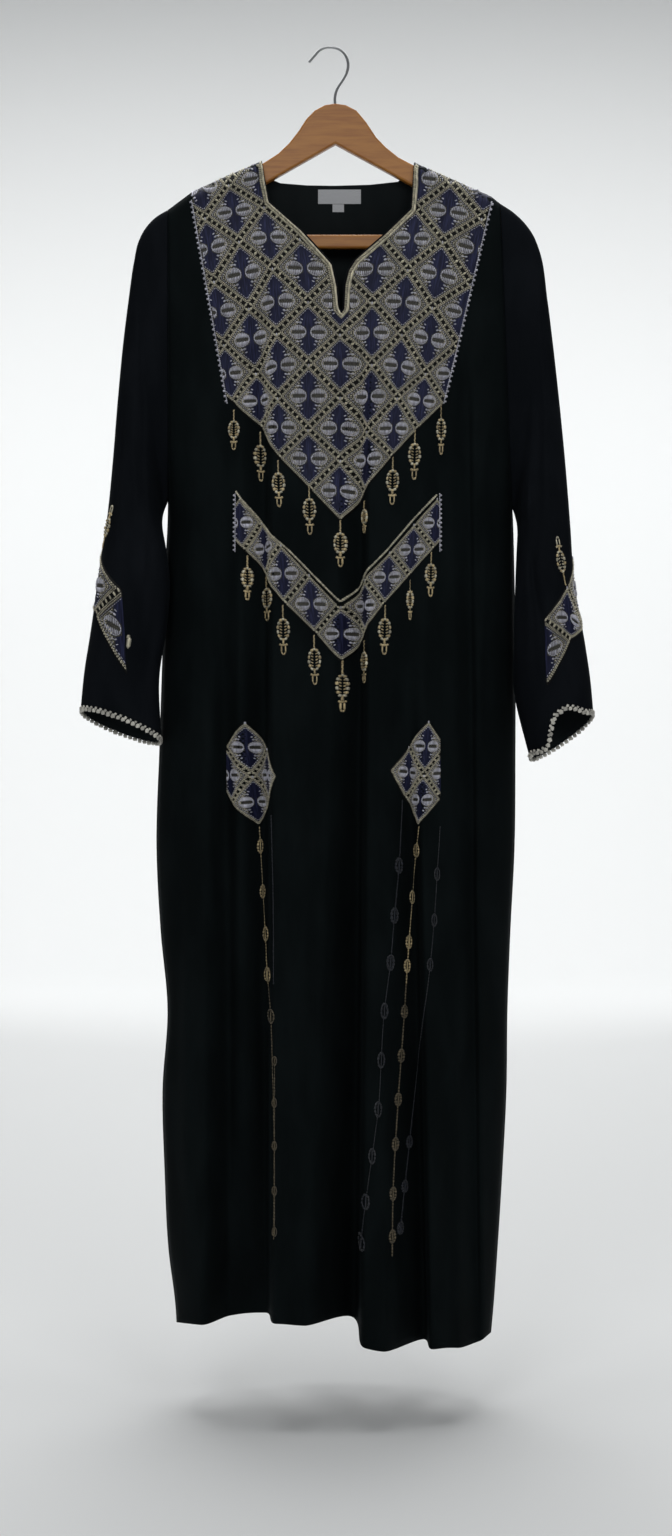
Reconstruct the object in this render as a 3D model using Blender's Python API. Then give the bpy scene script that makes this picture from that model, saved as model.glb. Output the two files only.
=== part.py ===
# Full-length embroidered velvet dress with long sleeves, hung on a wooden hanger.
# Tables are in millimetres: x to the right, down below the underside of the hook's crest,
# y away from the viewer. The meshes are in metres with +Z up.
import math

import bmesh
import bpy
import numpy as np
from mathutils import Vector

MM = 0.001
WALL = 1.6  # velvet with its facing, as a solid wall
GAP = 0.3  # clearance between pieces that touch
SEAM_HALF = 0.25  # half the clearance left along a seam
PATCH = 1.0  # thickness of an embroidered patch
TRIM = 1.6  # thickness of the corded edge trims
TRIM_WIDTH = 6.5
LABEL_THICK = 0.7
EDGE_ROW = 0.8  # the trim starts this far in from the raw edge
ROLL = 2.5  # how quickly the cloth turns over the hanger's arm
NECK_FADE = 0.28  # share of the panel over which the neckline's shift of the columns fades out
LEAST_DEPTH = 4.0  # the folds leave this much between the cloth and the middle plane

# The outline is measured in the plane of the hanger by an eye this far in front of it
EYE_DISTANCE = 2900.0
EYE_X = 5.0
EYE_DOWN = 863.0

# Half sections of the body: side edges, depth of each half, and half depth of the armholes
SECTION_COLUMNS = ("down", "left", "right", "front", "back", "armhole")
SECTIONS = (
    (130, -196.0, 200.0, 15, 13, 12),
    (187, -196.3, 202.1, 19, 15, 12),
    (230, -196.2, 203.8, 30, 21, 15),
    (301, -196.1, 206.6, 44, 32, 20),
    (421, -196.0, 211.3, 62, 48, 24),
    (500, -195.9, 214.4, 72, 58, 18),
    (545, -195.8, 216.2, 78, 64, 6),
    (575, -196.5, 217.5, 80, 66, 0),
    (613, -198.7, 218.5, 83, 70, 0),
    (721, -202.3, 220.1, 90, 78, 0),
    (835, -205.9, 220.1, 96, 84, 0),
    (961, -209.5, 218.9, 101, 90, 0),
    (1057, -204.7, 214.1, 104, 94, 0),
    (1153, -196.3, 210.5, 108, 98, 0),
    (1249, -202.3, 209.3, 111, 102, 0),
    (1345, -199.9, 204.5, 114, 106, 0),
    (1441, -195.1, 198.5, 117, 110, 0),
    (1509, -186.7, 193.7, 120, 114, 0),
    (1560, -184.3, 188.9, 120, 116, 0),
)

# Upper edges of the two body panels, from the left shoulder to the right one. A column's place
# across the panel runs from -1 to 1, lay is the way the cloth leaves the edge, and on_arm is how
# closely the edge lies over the hanger.
EDGE_COLUMNS = ("column", "x", "down", "lay_x", "lay_down", "on_arm")
FRONT_EDGE = (
    (-1.000, -196.3, 194.1, 0.00, 1.00, 1.0),
    (-0.860, -167.5, 172.5, 0.00, 1.05, 1.0),
    (-0.660, -126.7, 153.9, -0.20, 1.15, 1.0),
    (-0.455, -84.7, 135.7, -0.80, 0.80, 1.0),
    (-0.445, -84.2, 138.9, -0.55, 0.40, 0.3),
    (-0.420, -81.1, 157.5, -0.80, 0.20, 0.2),
    (-0.370, -75.1, 183.9, -0.75, 0.50, 0.0),
    (-0.200, -35.5, 218.7, -0.70, 0.71, 0.0),
    (-0.035, 0.5, 258.3, -0.85, 0.53, 0.0),
    (-0.008, 6.5, 284.7, -1.00, 0.15, 0.0),
    (0.013, 8.9, 312.0, -0.90, 0.44, 0.0),
    (0.035, 11.6, 317.7, 0.00, 1.00, 0.0),
    (0.057, 14.3, 312.0, 0.90, 0.44, 0.0),
    (0.078, 15.5, 284.7, 1.00, 0.15, 0.0),
    (0.105, 19.7, 266.7, 0.90, 0.44, 0.0),
    (0.150, 28.1, 253.5, 0.75, 0.66, 0.0),
    (0.300, 62.9, 223.5, 0.70, 0.71, 0.0),
    (0.440, 95.3, 192.3, 0.75, 0.50, 0.0),
    (0.475, 98.3, 163.5, 0.80, 0.20, 0.2),
    (0.490, 99.8, 141.0, 0.55, 0.40, 0.3),
    (0.500, 100.1, 137.7, 0.80, 0.80, 1.0),
    (0.660, 148.1, 158.7, 0.20, 1.15, 1.0),
    (0.880, 191.3, 177.9, 0.00, 1.05, 1.0),
    (1.000, 202.1, 186.5, 0.00, 1.00, 1.0),
)
BACK_EDGE = (
    (-1.000, -196.3, 194.1, 0.00, 1.00, 1.0),
    (-0.860, -167.5, 172.5, 0.00, 1.05, 1.0),
    (-0.660, -126.7, 153.9, -0.10, 1.10, 1.0),
    (-0.455, -84.7, 135.7, -0.30, 1.10, 1.0),
    (-0.440, -84.0, 139.7, -0.30, 0.95, 0.3),
    (-0.400, -78.0, 151.0, -0.40, 0.90, 0.1),
    (-0.330, -62.0, 158.0, -0.10, 1.00, 0.0),
    (-0.160, -30.0, 160.6, 0.00, 1.00, 0.0),
    (0.020, 4.1, 161.1, 0.00, 1.00, 0.0),
    (0.220, 46.0, 159.9, 0.00, 1.00, 0.0),
    (0.390, 79.7, 156.3, 0.10, 1.00, 0.0),
    (0.480, 99.0, 142.0, 0.30, 0.95, 0.3),
    (0.500, 100.1, 137.7, 0.30, 1.10, 1.0),
    (0.660, 148.1, 158.7, 0.10, 1.10, 1.0),
    (0.880, 191.3, 177.9, 0.00, 1.05, 1.0),
    (1.000, 202.1, 186.5, 0.00, 1.00, 1.0),
)
NECK_COLUMNS = (-0.455, 0.5)
HEM_COLUMNS = ("column", "front", "back")
HEM = (
    (-1.00, 1528, 1528),
    (-0.86, 1531, 1524),
    (-0.28, 1531, 1517),
    (-0.03, 1538, 1516),
    (0.14, 1555, 1519),
    (0.71, 1559, 1530),
    (0.93, 1552, 1537),
    (1.00, 1540, 1540),
)

# Vertical folds. x, half width, depth and sideways lean are given at the chest and at the hem;
# a fold begins at one height and has its whole depth at another.
FOLD_COLUMNS = (
    "begins", "whole", "x_chest", "x_hem", "wide_chest", "wide_hem",
    "deep_chest", "deep_hem", "lean_chest", "lean_hem",
)
FRONT_FOLDS = (
    (300, 900, -131, -127, 22, 30, 5, 52, 2, 8),
    (240, 460, -88, -98, 20, 32, 15, 60, 6, 18),
    (250, 440, 32, 4, 17, 38, 9, 80, 4, 22),
    (600, 1000, 84, 92, 18, 31, 0, 62, 0, 17),
    (330, 460, 158, 168, 15, 17, 10, 18, 4, 5),
)
BACK_FOLDS = (
    (420, 1000, -128, -122, 24, 32, 4, 46, 3, -6),
    (300, 800, -52, -58, 22, 34, 6, 60, 4, 10),
    (340, 900, 26, 22, 22, 34, 5, 54, 3, -10),
    (280, 760, 88, 96, 22, 34, 8, 56, -4, 10),
    (520, 1100, 156, 152, 18, 20, 3, 20, 0, 3),
)
CHEST_DOWN = 420.0
HEM_DOWN = 1525.0

# Sleeve rings from the armhole to the cuff: the overarm and underarm ends of each ring, its half
# depth, how far it hangs forward, and how much its front rises above its back.
SLEEVE_COLUMNS = ("over_x", "over_down", "under_x", "under_down", "depth", "forward", "rise")
LEFT_SLEEVE = (
    (-196.9, 194.3, -196.5, 543.0, 22, 0, 0),
    (-210.0, 202.2, -197.9, 545.5, 22, 0, 0),
    (-222.0, 214.4, -199.1, 548.5, 23, 0, 0),
    (-231.4, 232.2, -200.3, 551.5, 24, 1, 0),
    (-236.6, 256.0, -201.5, 555.0, 25, 2, 0),
    (-243.1, 301.5, -202.6, 559.0, 27, 4, 0),
    (-249.1, 349.5, -203.4, 564.0, 29, 7, 0),
    (-255.9, 420.0, -203.6, 571.0, 32, 12, 0),
    (-262.0, 495.0, -202.5, 581.0, 35, 18, 0),
    (-268.0, 556.0, -199.0, 601.0, 37, 26, 0),
    (-279.1, 632.0, -194.5, 645.0, 39, 34, 2),
    (-288.7, 700.0, -199.0, 700.0, 38, 36, 4),
    (-296.5, 750.0, -207.5, 760.0, 36, 36, 6),
    (-300.7, 793.5, -204.7, 830.0, 33, 34, 9),
)
RIGHT_SLEEVE = (
    (202.5, 186.7, 216.7, 551.0, 22, 0, 0),
    (217.0, 196.2, 218.2, 553.5, 22, 0, 0),
    (231.2, 209.5, 219.3, 556.5, 23, 0, 0),
    (242.0, 225.0, 220.4, 560.0, 24, 1, 0),
    (249.1, 243.0, 221.4, 564.0, 25, 2, 0),
    (258.5, 301.5, 222.5, 569.0, 27, 4, 0),
    (264.5, 349.5, 223.2, 575.0, 29, 7, 0),
    (272.9, 425.0, 223.5, 583.0, 32, 12, 0),
    (280.6, 505.0, 223.0, 594.0, 35, 18, 0),
    (286.1, 575.0, 222.0, 615.0, 37, 26, 0),
    (291.0, 645.0, 220.6, 655.0, 39, 34, 2),
    (302.9, 709.5, 219.0, 712.0, 38, 36, 4),
    (310.0, 758.0, 220.0, 776.0, 36, 36, 6),
    (313.7, 798.3, 238.0, 850.0, 33, 34, 9),
)
UNDERARM_DOWN = 525.0
UNDERARM_TURN = 35.0
SLEEVE_ROUND = 262.0  # cloth round the forearm, for the bands drawn on the flat sleeve
ARMHOLE_SHARE = 0.3  # share of the sleeve over which the armhole's form fades out
ARMHOLE_HALF = 24.0  # greatest half depth of the armhole
UNDERARM_RISE = 60.0  # height over which the armhole opens above the underarm
TUBE_POWER = 0.85  # below 1 the sleeve's section is boxier than an ellipse

# Outlines of the embroidered patches
YOKE_SIDES = ((-167.5, 172.0), (-124.3, 426.3), (12.5, 561.9), (133.7, 426.3), (191.3, 176.0))
CHEVRON_ENDS = (-115.9, 130.1)
CHEVRON_MIDDLE = 11.5
CHEVRON_TOP = (532.0, 661.5)
CHEVRON_TALL = 70.5
LOZENGE_COLUMNS = ("name", "left", "right", "top", "bottom", "top_x", "waist", "bottom_x")
LOZENGES = (
    ("hip_lozenge_left", -127.0, -79.0, 805.5, 934.0, -104.5, 870.0, -89.0),
    ("hip_lozenge_right", 70.0, 130.5, 805.5, 934.0, 115.0, 870.0, 103.0),
)
BAND_COLUMNS = ("name", "top", "tall", "half_round")
SLEEVE_BANDS = {
    "left": ("sleeve_band_left", 611.0, 67.0, 92.0),
    "right": ("sleeve_band_right", 634.0, 67.0, 92.0),
}
LABEL_BOX = (-16.3, 35.3, 165.9, 182.7)
TAB_BOX = (1.1, 14.9, 183.1, 192.3)

# Hanger: outline of the wooden body, bar and wire hook
HANGER_THICK = 12.0
HANGER_EDGE = 2.4
HANGER_TOP = (
    (4.1, 66.6), (-8.0, 68.3), (-20.5, 75.0), (-30.7, 85.5), (-39.2, 98.9), (-51.0, 114.1),
    (-64.0, 126.5), (-82.1, 138.2), (-100.0, 146.0), (-126.7, 158.0), (-150.0, 168.4), (-167.5, 177.0),
    (-184.0, 188.5), (-198.0, 200.5), (-206.0, 209.0), (-211.0, 219.0), (-208.0, 229.0),
)
HANGER_TOP_RIGHT = (
    (221.0, 226.0), (225.0, 216.0), (221.0, 207.0), (212.0, 198.5), (200.0, 190.5),
    (188.0, 182.5), (170.0, 173.5), (148.0, 163.3), (122.0, 151.6), (98.0, 140.5),
    (80.0, 131.0), (65.2, 119.1), (53.5, 107.0), (41.6, 88.9), (30.0, 75.0), (17.0, 68.3),
)
LUG_LEFT = (-188.0, -176.0, 231.0, 217.0)  # left and right sides, and where each one begins
LUG_RIGHT = (189.5, 201.5, 215.0, 229.0)
LUG_DOWN = 247.0
HANGER_UNDER = ((-67.8, 156.3), (4.6, 115.2), (80.3, 156.3))
BAR_DOWN = 232.0
BAR_TALL = 17.0
BAR_THICK = 10.0
WIRE = 3.2
HOOK_CURVE = (
    (-27.2, 16.2), (-20.6, 8.6), (-12.5, 0.6), (0.0, -1.6), (11.5, 2.2), (18.6, 12.0),
    (19.4, 24.5), (13.8, 37.0), (6.8, 48.0), (4.1, 58.0), (4.1, 66.0),
)

BAR_ROUNDING = 3.0

# Mesh fineness
PANEL_COLUMNS = 36
PANEL_ROWS = 16
ROW_GROWTH = 1.25  # rows lie closer together near the upper edge
COLUMN_SPACE = 2.4
FOLD_CROWD = 2.2  # how much closer the columns lie where a fold runs
HALF_WIDTH = 205.0
SLEEVE_ROWS = 16
SLEEVE_SIDES = 16
SIDE_CROWD = 1.18
TRIM_ROW_SHARE = 0.011  # the last row of a sleeve, as wide as its trim
OVERARM_TURN = 0.11

bpy_scene = bpy.context.scene
for old in list(bpy_scene.objects):
    bpy.data.objects.remove(old, do_unlink=True)


def column(table, names, name):
    """One named column of a table as an array."""
    return np.array([row[names.index(name)] for row in table], float)


def smooth(at, xs, ys):
    """A smooth curve through (xs, ys), read at each value of at."""
    at = np.asarray(at, float)
    slope = np.gradient(ys, xs)
    i = np.clip(np.searchsorted(xs, at) - 1, 0, len(xs) - 2)
    step = xs[i + 1] - xs[i]
    t = np.clip((at - xs[i]) / step, 0.0, 1.0)
    rise = ys[i] * (2 * t**3 - 3 * t**2 + 1) + ys[i + 1] * (3 * t**2 - 2 * t**3)
    return rise + step * (slope[i] * (t**3 - 2 * t**2 + t) + slope[i + 1] * (t**3 - t**2))


def ease(t):
    t = np.clip(t, 0.0, 1.0)
    return t * t * (3 - 2 * t)


def section(name, down):
    return smooth(down, column(SECTIONS, SECTION_COLUMNS, "down"), column(SECTIONS, SECTION_COLUMNS, name))


def seen(x, y, down, base_y):
    """From the outline's plane to the cloth's real place: what is nearer the eye is drawn in."""
    scale_x = 1 + np.minimum(y, 0) / EYE_DISTANCE
    scale_down = 1 + np.minimum(base_y, 0) / EYE_DISTANCE
    real_x = EYE_X + (x - EYE_X) * scale_x
    real_down = EYE_DOWN + (down - EYE_DOWN) * scale_down
    return np.stack([real_x, y, -real_down], axis=-1) * MM


def folded(x, down, folds):
    """Sideways and inward shift of the cloth at (x, down), from the table of folds."""
    shift = np.zeros_like(x)
    inward = np.zeros_like(x)
    along = (down - CHEST_DOWN) / (HEM_DOWN - CHEST_DOWN)
    for row in folds:
        fold = dict(zip(FOLD_COLUMNS, row))
        centre = fold["x_chest"] + (fold["x_hem"] - fold["x_chest"]) * along
        share = np.clip(along, 0, 1)
        wide = fold["wide_chest"] + (fold["wide_hem"] - fold["wide_chest"]) * share
        deep = fold["deep_chest"] + (fold["deep_hem"] - fold["deep_chest"]) * share
        lean = fold["lean_chest"] + (fold["lean_hem"] - fold["lean_chest"]) * share
        grown = ease((down - fold["begins"]) / (fold["whole"] - fold["begins"]))
        bump = 0.5 + 0.5 * np.cos(np.pi * np.clip((x - centre) / wide, -1, 1))
        shift += bump * grown * lean
        inward += bump * grown * deep
    return shift, inward


def columns_between(keys, folds, count):
    """Places of the mesh's columns: every key, and more where a fold runs."""
    fine = np.linspace(-1, 1, 2001)
    crowd = np.ones_like(fine)
    for row in folds:
        fold = dict(zip(FOLD_COLUMNS, row))
        middle = 0.5 * (fold["x_chest"] + fold["x_hem"])
        wide = 0.5 * (fold["wide_chest"] + fold["wide_hem"])
        crowd += FOLD_CROWD * np.exp(-(((fine * HALF_WIDTH - middle) / wide) ** 2))
    total = np.concatenate([[0], np.cumsum(crowd[1:] + crowd[:-1])])
    total *= count / total[-1]
    places = []
    for start, end in zip(keys[:-1], keys[1:]):
        share = np.interp([start, end], fine, total)
        pieces = max(1, int(round(share[1] - share[0])))
        at = np.linspace(share[0], share[1], pieces + 1)[:-1]
        places.extend(np.interp(at, total, fine))
    places.append(keys[-1])
    return np.array(places)


def spread(row, middle):
    """Keep a row's columns at least COLUMN_SPACE apart, moving them away from the middle one."""
    for j in range(middle + 1, len(row) - 1):
        row[j] = max(row[j], row[j - 1] + COLUMN_SPACE)
    for j in range(middle - 1, 0, -1):
        row[j] = min(row[j], row[j + 1] - COLUMN_SPACE)
    return row


def normals_of(points, round_tube=False):
    """Unit normals of a grid of points, rows down and columns across."""
    if round_tube:
        wrapped = np.concatenate([points[:, -2:-1], points, points[:, 1:2]], axis=1)
        across = (wrapped[:, 2:] - wrapped[:, :-2])
    else:
        across = np.gradient(points, axis=1)
    down = np.gradient(points, axis=0)
    normal = np.cross(across, down)
    return normal / np.maximum(np.linalg.norm(normal, axis=-1, keepdims=True), 1e-12)


def panel_grid(edge, folds, hem_name, depth_name, facing):
    """Flat places and hung points of a body panel. facing is -1 for the front and 1 for the back."""
    keys = column(edge, EDGE_COLUMNS, "column")
    places = columns_between(keys, folds, PANEL_COLUMNS)
    top = {name: np.interp(places, keys, column(edge, EDGE_COLUMNS, name)) for name in EDGE_COLUMNS}
    hem = smooth(places, column(HEM, HEM_COLUMNS, "column"), column(HEM, HEM_COLUMNS, hem_name))
    near = (0.0, EDGE_ROW, EDGE_ROW + TRIM_WIDTH, EDGE_ROW + TRIM_WIDTH + 2 * GAP)
    rows = len(near) + PANEL_ROWS
    x = np.zeros((rows, len(places)))
    down = np.zeros_like(x)
    off = np.zeros_like(x)
    for i, step in enumerate(near):
        x[i] = top["x"] + top["lay_x"] * step
        down[i] = top["down"] + top["lay_down"] * step
        off[i] = step
    last_x, last_down = x[len(near) - 1], down[len(near) - 1]
    start_x = 0.5 * (section("left", last_down) + section("right", last_down))
    start_x = start_x + 0.5 * (section("right", last_down) - section("left", last_down)) * places
    for i in range(PANEL_ROWS):
        share = ((i + 1) / PANEL_ROWS) ** ROW_GROWTH
        row = len(near) + i
        down[row] = last_down + share * (hem - last_down)
        left, right = section("left", down[row]), section("right", down[row])
        fade = 1 - ease(share / NECK_FADE)
        x[row] = 0.5 * (left + right) + 0.5 * (right - left) * places + (last_x - start_x) * fade
        x[row] = spread(x[row], int(np.abs(places).argmin()))
        off[row] = near[-1] + down[row] - last_down
    left, right = section("left", down), section("right", down)
    across = np.clip((x - 0.5 * (left + right)) / (0.5 * (right - left)), -1, 1)
    across[:, 0], across[:, -1] = -1, 1
    bow = np.sqrt(1 - across**2)
    armhole = np.maximum(section("armhole", down), 0.0)
    turned = 1 - top["on_arm"] * np.exp(-off / ROLL)
    base = (armhole + (section(depth_name, down) - armhole) * bow) * turned
    shift, inward = folded(x, down, folds)
    inward = np.minimum(inward, np.maximum(base - LEAST_DEPTH, 0.0))
    y = facing * (SEAM_HALF + base - inward)
    base_y = facing * base
    hung = seen(x + shift, y, down, base_y)
    out = normals_of(hung) * facing
    out[0, :, 1] *= 1 - top["on_arm"]
    for edge_column in (0, -1):
        below = ease((down[:, edge_column] - UNDERARM_DOWN) / UNDERARM_TURN)
        out[:, edge_column, 0] *= below
        out[:, edge_column, 1] *= 1 - below
    return places, np.stack([x, down], axis=-1), hung, out


def sleeve_grid(table, side):
    """Flat places and hung points of a sleeve, open along the underarm. side is -1 left, 1 right."""
    rows = {name: column(table, SLEEVE_COLUMNS, name) for name in SLEEVE_COLUMNS}
    lengths = np.hypot(np.diff(rows["over_x"]), np.diff(rows["over_down"]))
    at = np.concatenate([[0], np.cumsum(lengths)])
    at /= at[-1]
    wanted = np.linspace(0, 1, SLEEVE_ROWS + 1) ** ROW_GROWTH
    wanted = np.sort(np.append(wanted[:-1], (1 - TRIM_ROW_SHARE, 1.0)))
    ring = {name: smooth(wanted, at, rows[name]) for name in SLEEVE_COLUMNS}
    turn = np.linspace(-1, 1, SLEEVE_SIDES + 1)
    turn = np.sign(turn) * np.abs(turn) ** SIDE_CROWD * math.pi
    turn = np.sort(np.append(turn, (-OVERARM_TURN, OVERARM_TURN)))
    ones = np.ones((len(wanted), len(turn)))
    wide = {name: ring[name][:, None] * ones for name in SLEEVE_COLUMNS}
    cos, sin = np.cos(turn)[None] * ones, np.sin(turn)[None] * ones
    front = side * np.sign(sin)
    mid_x = 0.5 * (wide["over_x"] + wide["under_x"])
    mid_down = 0.5 * (wide["over_down"] + wide["under_down"])
    x = mid_x + 0.5 * (wide["over_x"] - wide["under_x"]) * cos
    down = mid_down + 0.5 * (wide["over_down"] - wide["under_down"]) * cos
    chord = np.hypot(wide["over_x"] - wide["under_x"], wide["over_down"] - wide["under_down"])
    from_top = 0.5 * chord * (1 - cos)
    from_under = 0.5 * chord * (1 + cos)
    pinched = np.maximum(section("armhole", down), 0.0) * (1 - np.exp(-from_top / ROLL))
    level = np.clip(from_under / UNDERARM_RISE, 0, 1)
    pinched = np.minimum(pinched, ARMHOLE_HALF * np.sqrt(level)) * np.sign(np.abs(sin))
    round_half = wide["depth"] * np.abs(sin) ** TUBE_POWER
    blend = ease(wanted / ARMHOLE_SHARE)[:, None]
    half = (1 - blend) * pinched + blend * round_half
    half[:, 0] = half[:, -1] = 0.0
    y = front * half - wide["forward"]
    down = down + wide["rise"] * front * np.abs(sin)
    hung = seen(x, y, down, -wide["forward"])
    hung[:, 0] = hung[:, -1]
    out = -normals_of(hung, round_tube=True)
    out[0, :, 0] = 0.0
    flat = np.stack([turn[None] / (2 * math.pi) * SLEEVE_ROUND * ones * side, down], axis=-1)
    return flat, hung, out


def pattern(flat, hung, out):
    """A flat triangle mesh in pattern coordinates that carries each point's hung place."""
    rows, columns = hung.shape[:2]
    mesh = bmesh.new()
    bmesh.ops.create_grid(mesh, x_segments=columns - 1, y_segments=rows - 1, size=1.0)
    place = mesh.verts.layers.float_vector.new("hung")
    outward = mesh.verts.layers.float_vector.new("out")
    row_layer = mesh.verts.layers.float.new("row")
    column_layer = mesh.verts.layers.float.new("column")
    for vert in mesh.verts:
        i = round((1 - vert.co.y) / 2 * (rows - 1))
        j = round((vert.co.x + 1) / 2 * (columns - 1))
        vert[column_layer] = j
        vert[place] = Vector(hung[i, j])
        vert[outward] = Vector(out[i, j])
        vert[row_layer] = i
        vert.co = (flat[i, j, 0], flat[i, j, 1], 0.0)
    bmesh.ops.triangulate(mesh, faces=mesh.faces[:])
    return mesh


def keep_inside(mesh, point, away):
    """Cut the pattern along a line through point and drop the side that away points to."""
    geometry = mesh.verts[:] + mesh.edges[:] + mesh.faces[:]
    bmesh.ops.bisect_plane(
        mesh, geom=geometry, dist=1e-5, plane_co=(*point, 0), plane_no=(*away, 0), clear_outer=True
    )


def keep_between(mesh, corners):
    """Keep the part of the pattern inside a convex outline."""
    centre = np.mean(corners, axis=0)
    for start, end in zip(corners, corners[1:] + corners[:1]):
        away = np.array([end[1] - start[1], start[0] - end[0]], float)
        if np.dot(away, centre - np.array(start)) > 0:
            away = -away
        keep_inside(mesh, start, away)


def material(name, color, roughness, metallic=0.0):
    finish = bpy.data.materials.new(name)
    finish.use_nodes = True
    shader = finish.node_tree.nodes["Principled BSDF"]
    shader.inputs["Base Color"].default_value = (*color, 1.0)
    shader.inputs["Roughness"].default_value = roughness
    shader.inputs["Metallic"].default_value = metallic
    return finish


def finish_object(name, mesh, finish, sharp=40.0):
    data = bpy.data.meshes.new(name)
    mesh.to_mesh(data)
    mesh.free()
    data.shade_smooth()
    data.set_sharp_from_angle(angle=math.radians(sharp))
    data.materials.append(finish)
    thing = bpy.data.objects.new(name, data)
    bpy_scene.collection.objects.link(thing)
    return thing


def sewn(name, mesh, inner, outer, finish):
    """Hang a flat piece: its wall runs from inner to outer along the cloth's outward direction."""
    place = mesh.verts.layers.float_vector["hung"]
    outward = mesh.verts.layers.float_vector["out"]
    for vert in mesh.verts:
        vert.co = vert[place] + vert[outward].normalized() * inner * MM
    bmesh.ops.remove_doubles(mesh, verts=mesh.verts[:], dist=2e-6)
    bmesh.ops.dissolve_degenerate(mesh, edges=mesh.edges[:], dist=1e-6)
    grown = bmesh.ops.extrude_face_region(mesh, geom=mesh.faces[:], use_keep_orig=True)
    for vert in [part for part in grown["geom"] if isinstance(part, bmesh.types.BMVert)]:
        vert.co += vert[outward].normalized() * (outer - inner) * MM
    bmesh.ops.recalc_face_normals(mesh, faces=mesh.faces[:])
    return finish_object(name, mesh, finish)


velvet = material("black_velvet", (0.008, 0.010, 0.012), 0.9)
thread = material("metallic_thread", (0.55, 0.50, 0.38), 0.5, 0.3)
navy = material("navy_satin_patch", (0.04, 0.05, 0.14), 0.6)
woven_label = material("pale_woven_label", (0.62, 0.64, 0.68), 0.8)
wood = material("varnished_wood", (0.48, 0.22, 0.07), 0.35)
steel = material("plated_steel_wire", (0.50, 0.51, 0.52), 0.3, 1.0)

# Body panels
front_places, front_flat, front_hung, front_out = panel_grid(FRONT_EDGE, FRONT_FOLDS, "front", "front", -1)
_, back_flat, back_hung, back_out = panel_grid(BACK_EDGE, BACK_FOLDS, "back", "back", 1)
front_pattern = pattern(front_flat, front_hung, front_out)
back_pattern = pattern(back_flat, back_hung, back_out)
half_wall = WALL / 2
sewn("front_panel", front_pattern.copy(), -half_wall, half_wall, velvet)
sewn("back_panel", back_pattern.copy(), -half_wall, half_wall, velvet)

# Sleeves, with their cuff trims and V bands
for side, name, table in ((-1, "left", LEFT_SLEEVE), (1, "right", RIGHT_SLEEVE)):
    sleeve_pattern = pattern(*sleeve_grid(table, side))
    sewn(f"sleeve_{name}", sleeve_pattern.copy(), -half_wall, half_wall, velvet)
    cuff = sleeve_pattern.copy()
    row_layer = cuff.verts.layers.float["row"]
    last_row = max(vert[row_layer] for vert in cuff.verts)
    upper = [face for face in cuff.faces if min(v[row_layer] for v in face.verts) < last_row - 1.5]
    bmesh.ops.delete(cuff, geom=upper, context="FACES")
    sewn(f"cuff_trim_{name}", cuff, half_wall + GAP, half_wall + GAP + TRIM, thread)
    band = dict(zip(BAND_COLUMNS, SLEEVE_BANDS[name]))
    halves = []
    for way in (-1, 1):
        half_band = sleeve_pattern.copy()
        far = way * band["half_round"]
        corners = [
            (0.0, band["top"]),
            (far, band["top"] + band["half_round"]),
            (far, band["top"] + band["tall"] + band["half_round"]),
            (0.0, band["top"] + band["tall"]),
        ]
        keep_between(half_band, corners)
        halves.append(half_band)
    joined = bpy.data.meshes.new("joined")
    halves[1].to_mesh(joined)
    halves[0].from_mesh(joined)
    halves[1].free()
    bpy.data.meshes.remove(joined)
    sewn(band["name"], halves[0], half_wall + GAP, half_wall + GAP + PATCH, navy)
    sleeve_pattern.free()

# Corded trim round the front neckline, in the first strip of cloth below the raw edge
neck = front_pattern.copy()
row_layer = neck.verts.layers.float["row"]
column_layer = neck.verts.layers.float["column"]
first, last = [int(np.abs(front_places - at).argmin()) for at in NECK_COLUMNS]
outside = []
for face in neck.faces:
    in_strip = all(0.5 < vert[row_layer] < 2.5 for vert in face.verts)
    in_neck = all(first <= vert[column_layer] <= last for vert in face.verts)
    if not in_strip or not in_neck:
        outside.append(face)
bmesh.ops.delete(neck, geom=outside, context="FACES")
sewn("neck_trim", neck, half_wall + GAP, half_wall + GAP + TRIM, thread)

# Yoke: everything inside its outline that the neck trim leaves
yoke = front_pattern.copy()
row_layer = yoke.verts.layers.float["row"]
strip = [face for face in yoke.faces if min(vert[row_layer] for vert in face.verts) < 2.5]
bmesh.ops.delete(yoke, geom=strip, context="FACES")
keep_between(yoke, list(YOKE_SIDES))
sewn("yoke", yoke, half_wall + GAP, half_wall + GAP + PATCH, navy)

# Chevron band below the yoke, as two halves that meet in the middle
halves = []
for end in CHEVRON_ENDS:
    half_band = front_pattern.copy()
    corners = [
        (CHEVRON_MIDDLE, CHEVRON_TOP[1]),
        (end, CHEVRON_TOP[0]),
        (end, CHEVRON_TOP[0] + CHEVRON_TALL),
        (CHEVRON_MIDDLE, CHEVRON_TOP[1] + CHEVRON_TALL),
    ]
    keep_between(half_band, corners)
    halves.append(half_band)
joined = bpy.data.meshes.new("joined")
halves[1].to_mesh(joined)
halves[0].from_mesh(joined)
halves[1].free()
bpy.data.meshes.remove(joined)
sewn("chevron_band", halves[0], half_wall + GAP, half_wall + GAP + PATCH, navy)

# Hip lozenges
for row in LOZENGES:
    shape = dict(zip(LOZENGE_COLUMNS, row))
    lozenge = front_pattern.copy()
    corners = [
        (shape["top_x"], shape["top"]),
        (shape["right"], shape["waist"] - 20.0),
        (shape["right"], shape["waist"] + 8.0),
        (shape["bottom_x"], shape["bottom"]),
        (shape["left"], shape["waist"] + 8.0),
        (shape["left"], shape["waist"] - 8.0),
    ]
    keep_between(lozenge, corners)
    sewn(shape["name"], lozenge, half_wall + GAP, half_wall + GAP + PATCH, navy)

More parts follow.
